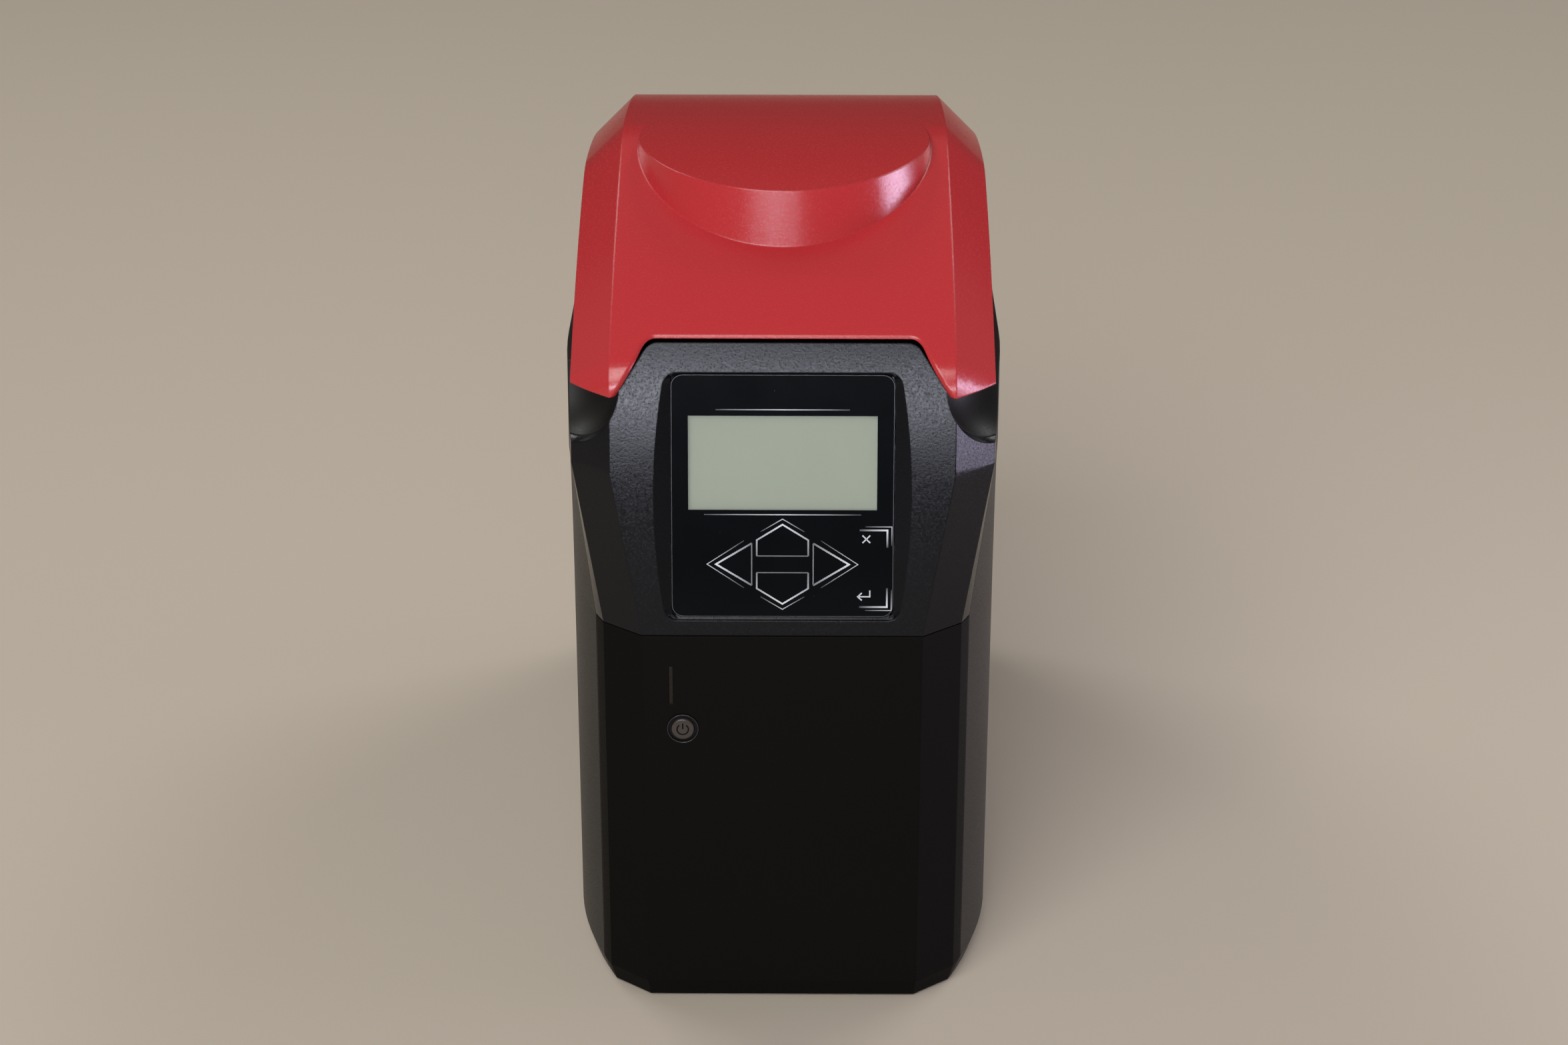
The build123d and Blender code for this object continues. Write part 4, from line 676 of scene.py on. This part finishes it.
# The screw caps have upright grip ribs all round.
TUBES, CAP_RADIUS, CAP_MIDDLE = 12, 6.3, 236.3
tubes_low, tubes_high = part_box("sample_tubes")
tube_ring = ((tubes_high.x - tubes_low.x) / 2 / MM - CAP_RADIUS) / math.cos(math.pi / TUBES)
ring_y = (tubes_low.y + tubes_high.y) / 2 / MM
caps, given = geometry_tree("ribbed_caps", "Ribs", {
    "Places": "Geometry", "Rib Count": "Int", "Cap Radius": "Float", "Rib Radius": "Float",
    "Rib Height": "Float", "Finish": "Material"})
around = add(caps, "GeometryNodeMeshCircle", {"Vertices": given["Rib Count"], "Radius": given["Cap Radius"]})
rib = add(caps, "GeometryNodeMeshCylinder", {"Vertices": 8, "Radius": given["Rib Radius"],
                                            "Depth": given["Rib Height"]})
ring = add(caps, "GeometryNodeInstanceOnPoints", {"Points": around.outputs["Mesh"],
                                                 "Instance": rib.outputs["Mesh"]})
grip = add(caps, "GeometryNodeRealizeInstances", {"Geometry": ring.outputs["Instances"]})
every = add(caps, "GeometryNodeInstanceOnPoints", {"Points": given["Places"],
                                                  "Instance": grip.outputs["Geometry"]})
end_tree(caps, "Ribs", every.outputs["Instances"], given["Finish"])
cap_turns = [2 * math.pi * (i + 0.5) / TUBES for i in range(TUBES)]
cap_places = [(tube_ring * math.cos(t), ring_y + tube_ring * math.sin(t), CAP_MIDDLE) for t in cap_turns]
CAP = {"Rib Count": 28, "Cap Radius": CAP_RADIUS * MM, "Rib Radius": 0.28 * MM, "Rib Height": 7.4 * MM,
       "Finish": polypropylene}
set_out("tube_cap_ribs", caps, cap_places, (0, 0, 1), CAP, "carriage")
# The knob has a dull black grip like the liner's rubber.
dress(liner_foam, "clamp_knob")
dress(ground_steel, "holder_shaft", "wrist_pin", "guide_rods", "carriage_bushes", "crank_bearings",
      "crank_shaft")
dress(bronze, "shaft_seal", "inlet_pins")

# ---- Button spring -------------------------------------------------------
# A coil of bright spring wire round the stem of the power button's cap. It stands on the switch, and rides
# on the base with a mesh of its own.
spring = moulding("return_spring", "button_spring", joined("button_spring"), ground_steel, "base",
                  soft=50)
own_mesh(spring)

# ---- Drive ---------------------------------------------------------------
# A bead blasted casting stands on rubber and holds the crank and guide rods.
# The motor hangs on a folded zinc plate, and drives the crank by a belt.

# Aluminium cast and bead blasted: an even matt grey.
cast_metal = moulded("bead_blasted_casting", "#8b8d8f", "#999b9d", 0.55, 0.7, 0.03)
# Zinc plate: a bluish grey with large faint spangles.
zinc = brushed("zinc_plated_sheet", "#8c9196", "#a3a8ab", 0.34, 6.0, (1, 1, 1))
# Baked enamel: a smooth black with clear highlights.
enamel = moulded("baked_black_enamel", "#17181a", "#1d1e20", 0.3, 1.5, 0.01)
dress(cast_metal, "drive_frame")
dress(zinc, "motor_bracket", "base_plate", "power_supply")
dress(enamel, "drive_motor")

# ---- Back and electrics --------------------------------------------------
# A black fan and an appliance inlet sit behind the back panel's openings. The
# boards are green, and stand on steel pillars or behind the display.

# Solder mask over glass fibre: a deep green with a slight weave.
fibreglass = moulded("green_solder_mask", "#14502c", "#195c34", 0.35, 2.5, 0.02)
# Glass filled nylon: a dry charcoal, rough with fibre ends.
fan_plastic = moulded("black_glass_filled_nylon", "#1b1b1c", "#232324", 0.55, 1.0, 0.03)
dress(fan_plastic, "fan_frame", "fan_rotor", "power_inlet")
dress(fibreglass, "display_board", "control_board")
dress(ground_steel, "board_pillars")

# ---- Studio --------------------------------------------------------------
# A pale bench with a wall far behind it. The soft lamps are a broad one high in
# front, a low strip in front, a small one low on the right and two at the back.
# The camera stands where the photograph was taken from.


def slab(name, corners, finish):
    """A flat part of the room."""
    data = bpy.data.meshes.new(name)
    data.from_pydata(corners, [], [(0, 1, 2, 3)])
    data.materials.append(finish)
    placed(name, data)


# Matt paint: a plain warm grey bench, and a darker grey wall.
paint, tree, place = blank("pale_bench_paint")
surface(tree, Base_Color=ink("#bcb0a0"), Roughness=0.8)
wall_paint, tree, place = blank("grey_wall_paint")
surface(tree, Base_Color=ink("#7d7770"), Roughness=0.9)
ROOM, WALL_Y, WALL_HIGH = 6.0, 5.0, 4.0
slab("bench", [(-ROOM, -ROOM, 0), (ROOM, -ROOM, 0), (ROOM, WALL_Y, 0), (-ROOM, WALL_Y, 0)], paint)
slab("backdrop", [(-ROOM, WALL_Y, 0), (ROOM, WALL_Y, 0), (ROOM, WALL_Y, WALL_HIGH),
                  (-ROOM, WALL_Y, WALL_HIGH)], wall_paint)


def lamp(name, size, power, place_at, aim, tint="#ffffff", spread=180.0):
    """A soft lamp that faces a point, with its light kept within some degrees."""
    data = bpy.data.lights.new(name, "AREA")
    data.shape = "RECTANGLE"
    data.size, data.size_y = size
    data.energy = power
    data.color = ink(tint)[:3]
    data.spread = math.radians(spread)
    light = placed(name, data)
    light.location = place_at
    light.rotation_euler = (Vector(aim) - Vector(place_at)).to_track_quat("-Z", "Y").to_euler()


lamp("front_lamp", (1.4, 1.5), 37, (-0.6, -1.75, 1.75), (0, 0, 0.15))
lamp("low_front_lamp", (1.6, 0.2), 3.2, (-0.3, -2.5, 0.55), (0, 0, 0.2), "#eef0ff", 60.0)
lamp("low_right_lamp", (0.5, 0.3), 1.3, (1.0, 0.02, 0.14), (0, 0, 0.24), "#e6dcff", 90.0)
for side, name in ((-1, "left_back_lamp"), (1, "right_back_lamp")):
    lamp(name, (0.9, 0.7), 13, (1.2 * side, 1.1, 1.95), (0, 0, 0.25))

world = bpy.data.worlds.new("room_light")
world.use_nodes = True
sky = world.node_tree.nodes["Background"].inputs
sky["Color"].default_value = ink("#dcdad6")
sky["Strength"].default_value = 0.3
bpy.context.scene.world = world

LENS_MM = 74.81
EYE = Vector((0.00621, -1.14526, 0.62820))
PITCH, YAW, ROLL = math.radians(23.932), math.radians(-0.326), math.radians(0.057)
camera_data = bpy.data.cameras.new("camera")
camera_data.lens = LENS_MM
camera_data.sensor_width = 36.0
camera_data.sensor_fit = "HORIZONTAL"
camera = placed("camera", camera_data)
turn = Euler((math.pi / 2 - PITCH, 0, -YAW)).to_matrix() @ Euler((0, 0, ROLL)).to_matrix()
camera.matrix_world = turn.to_4x4()
camera.location = EYE
bpy.context.scene.camera = camera
bpy.context.scene.view_settings.view_transform = "Standard"
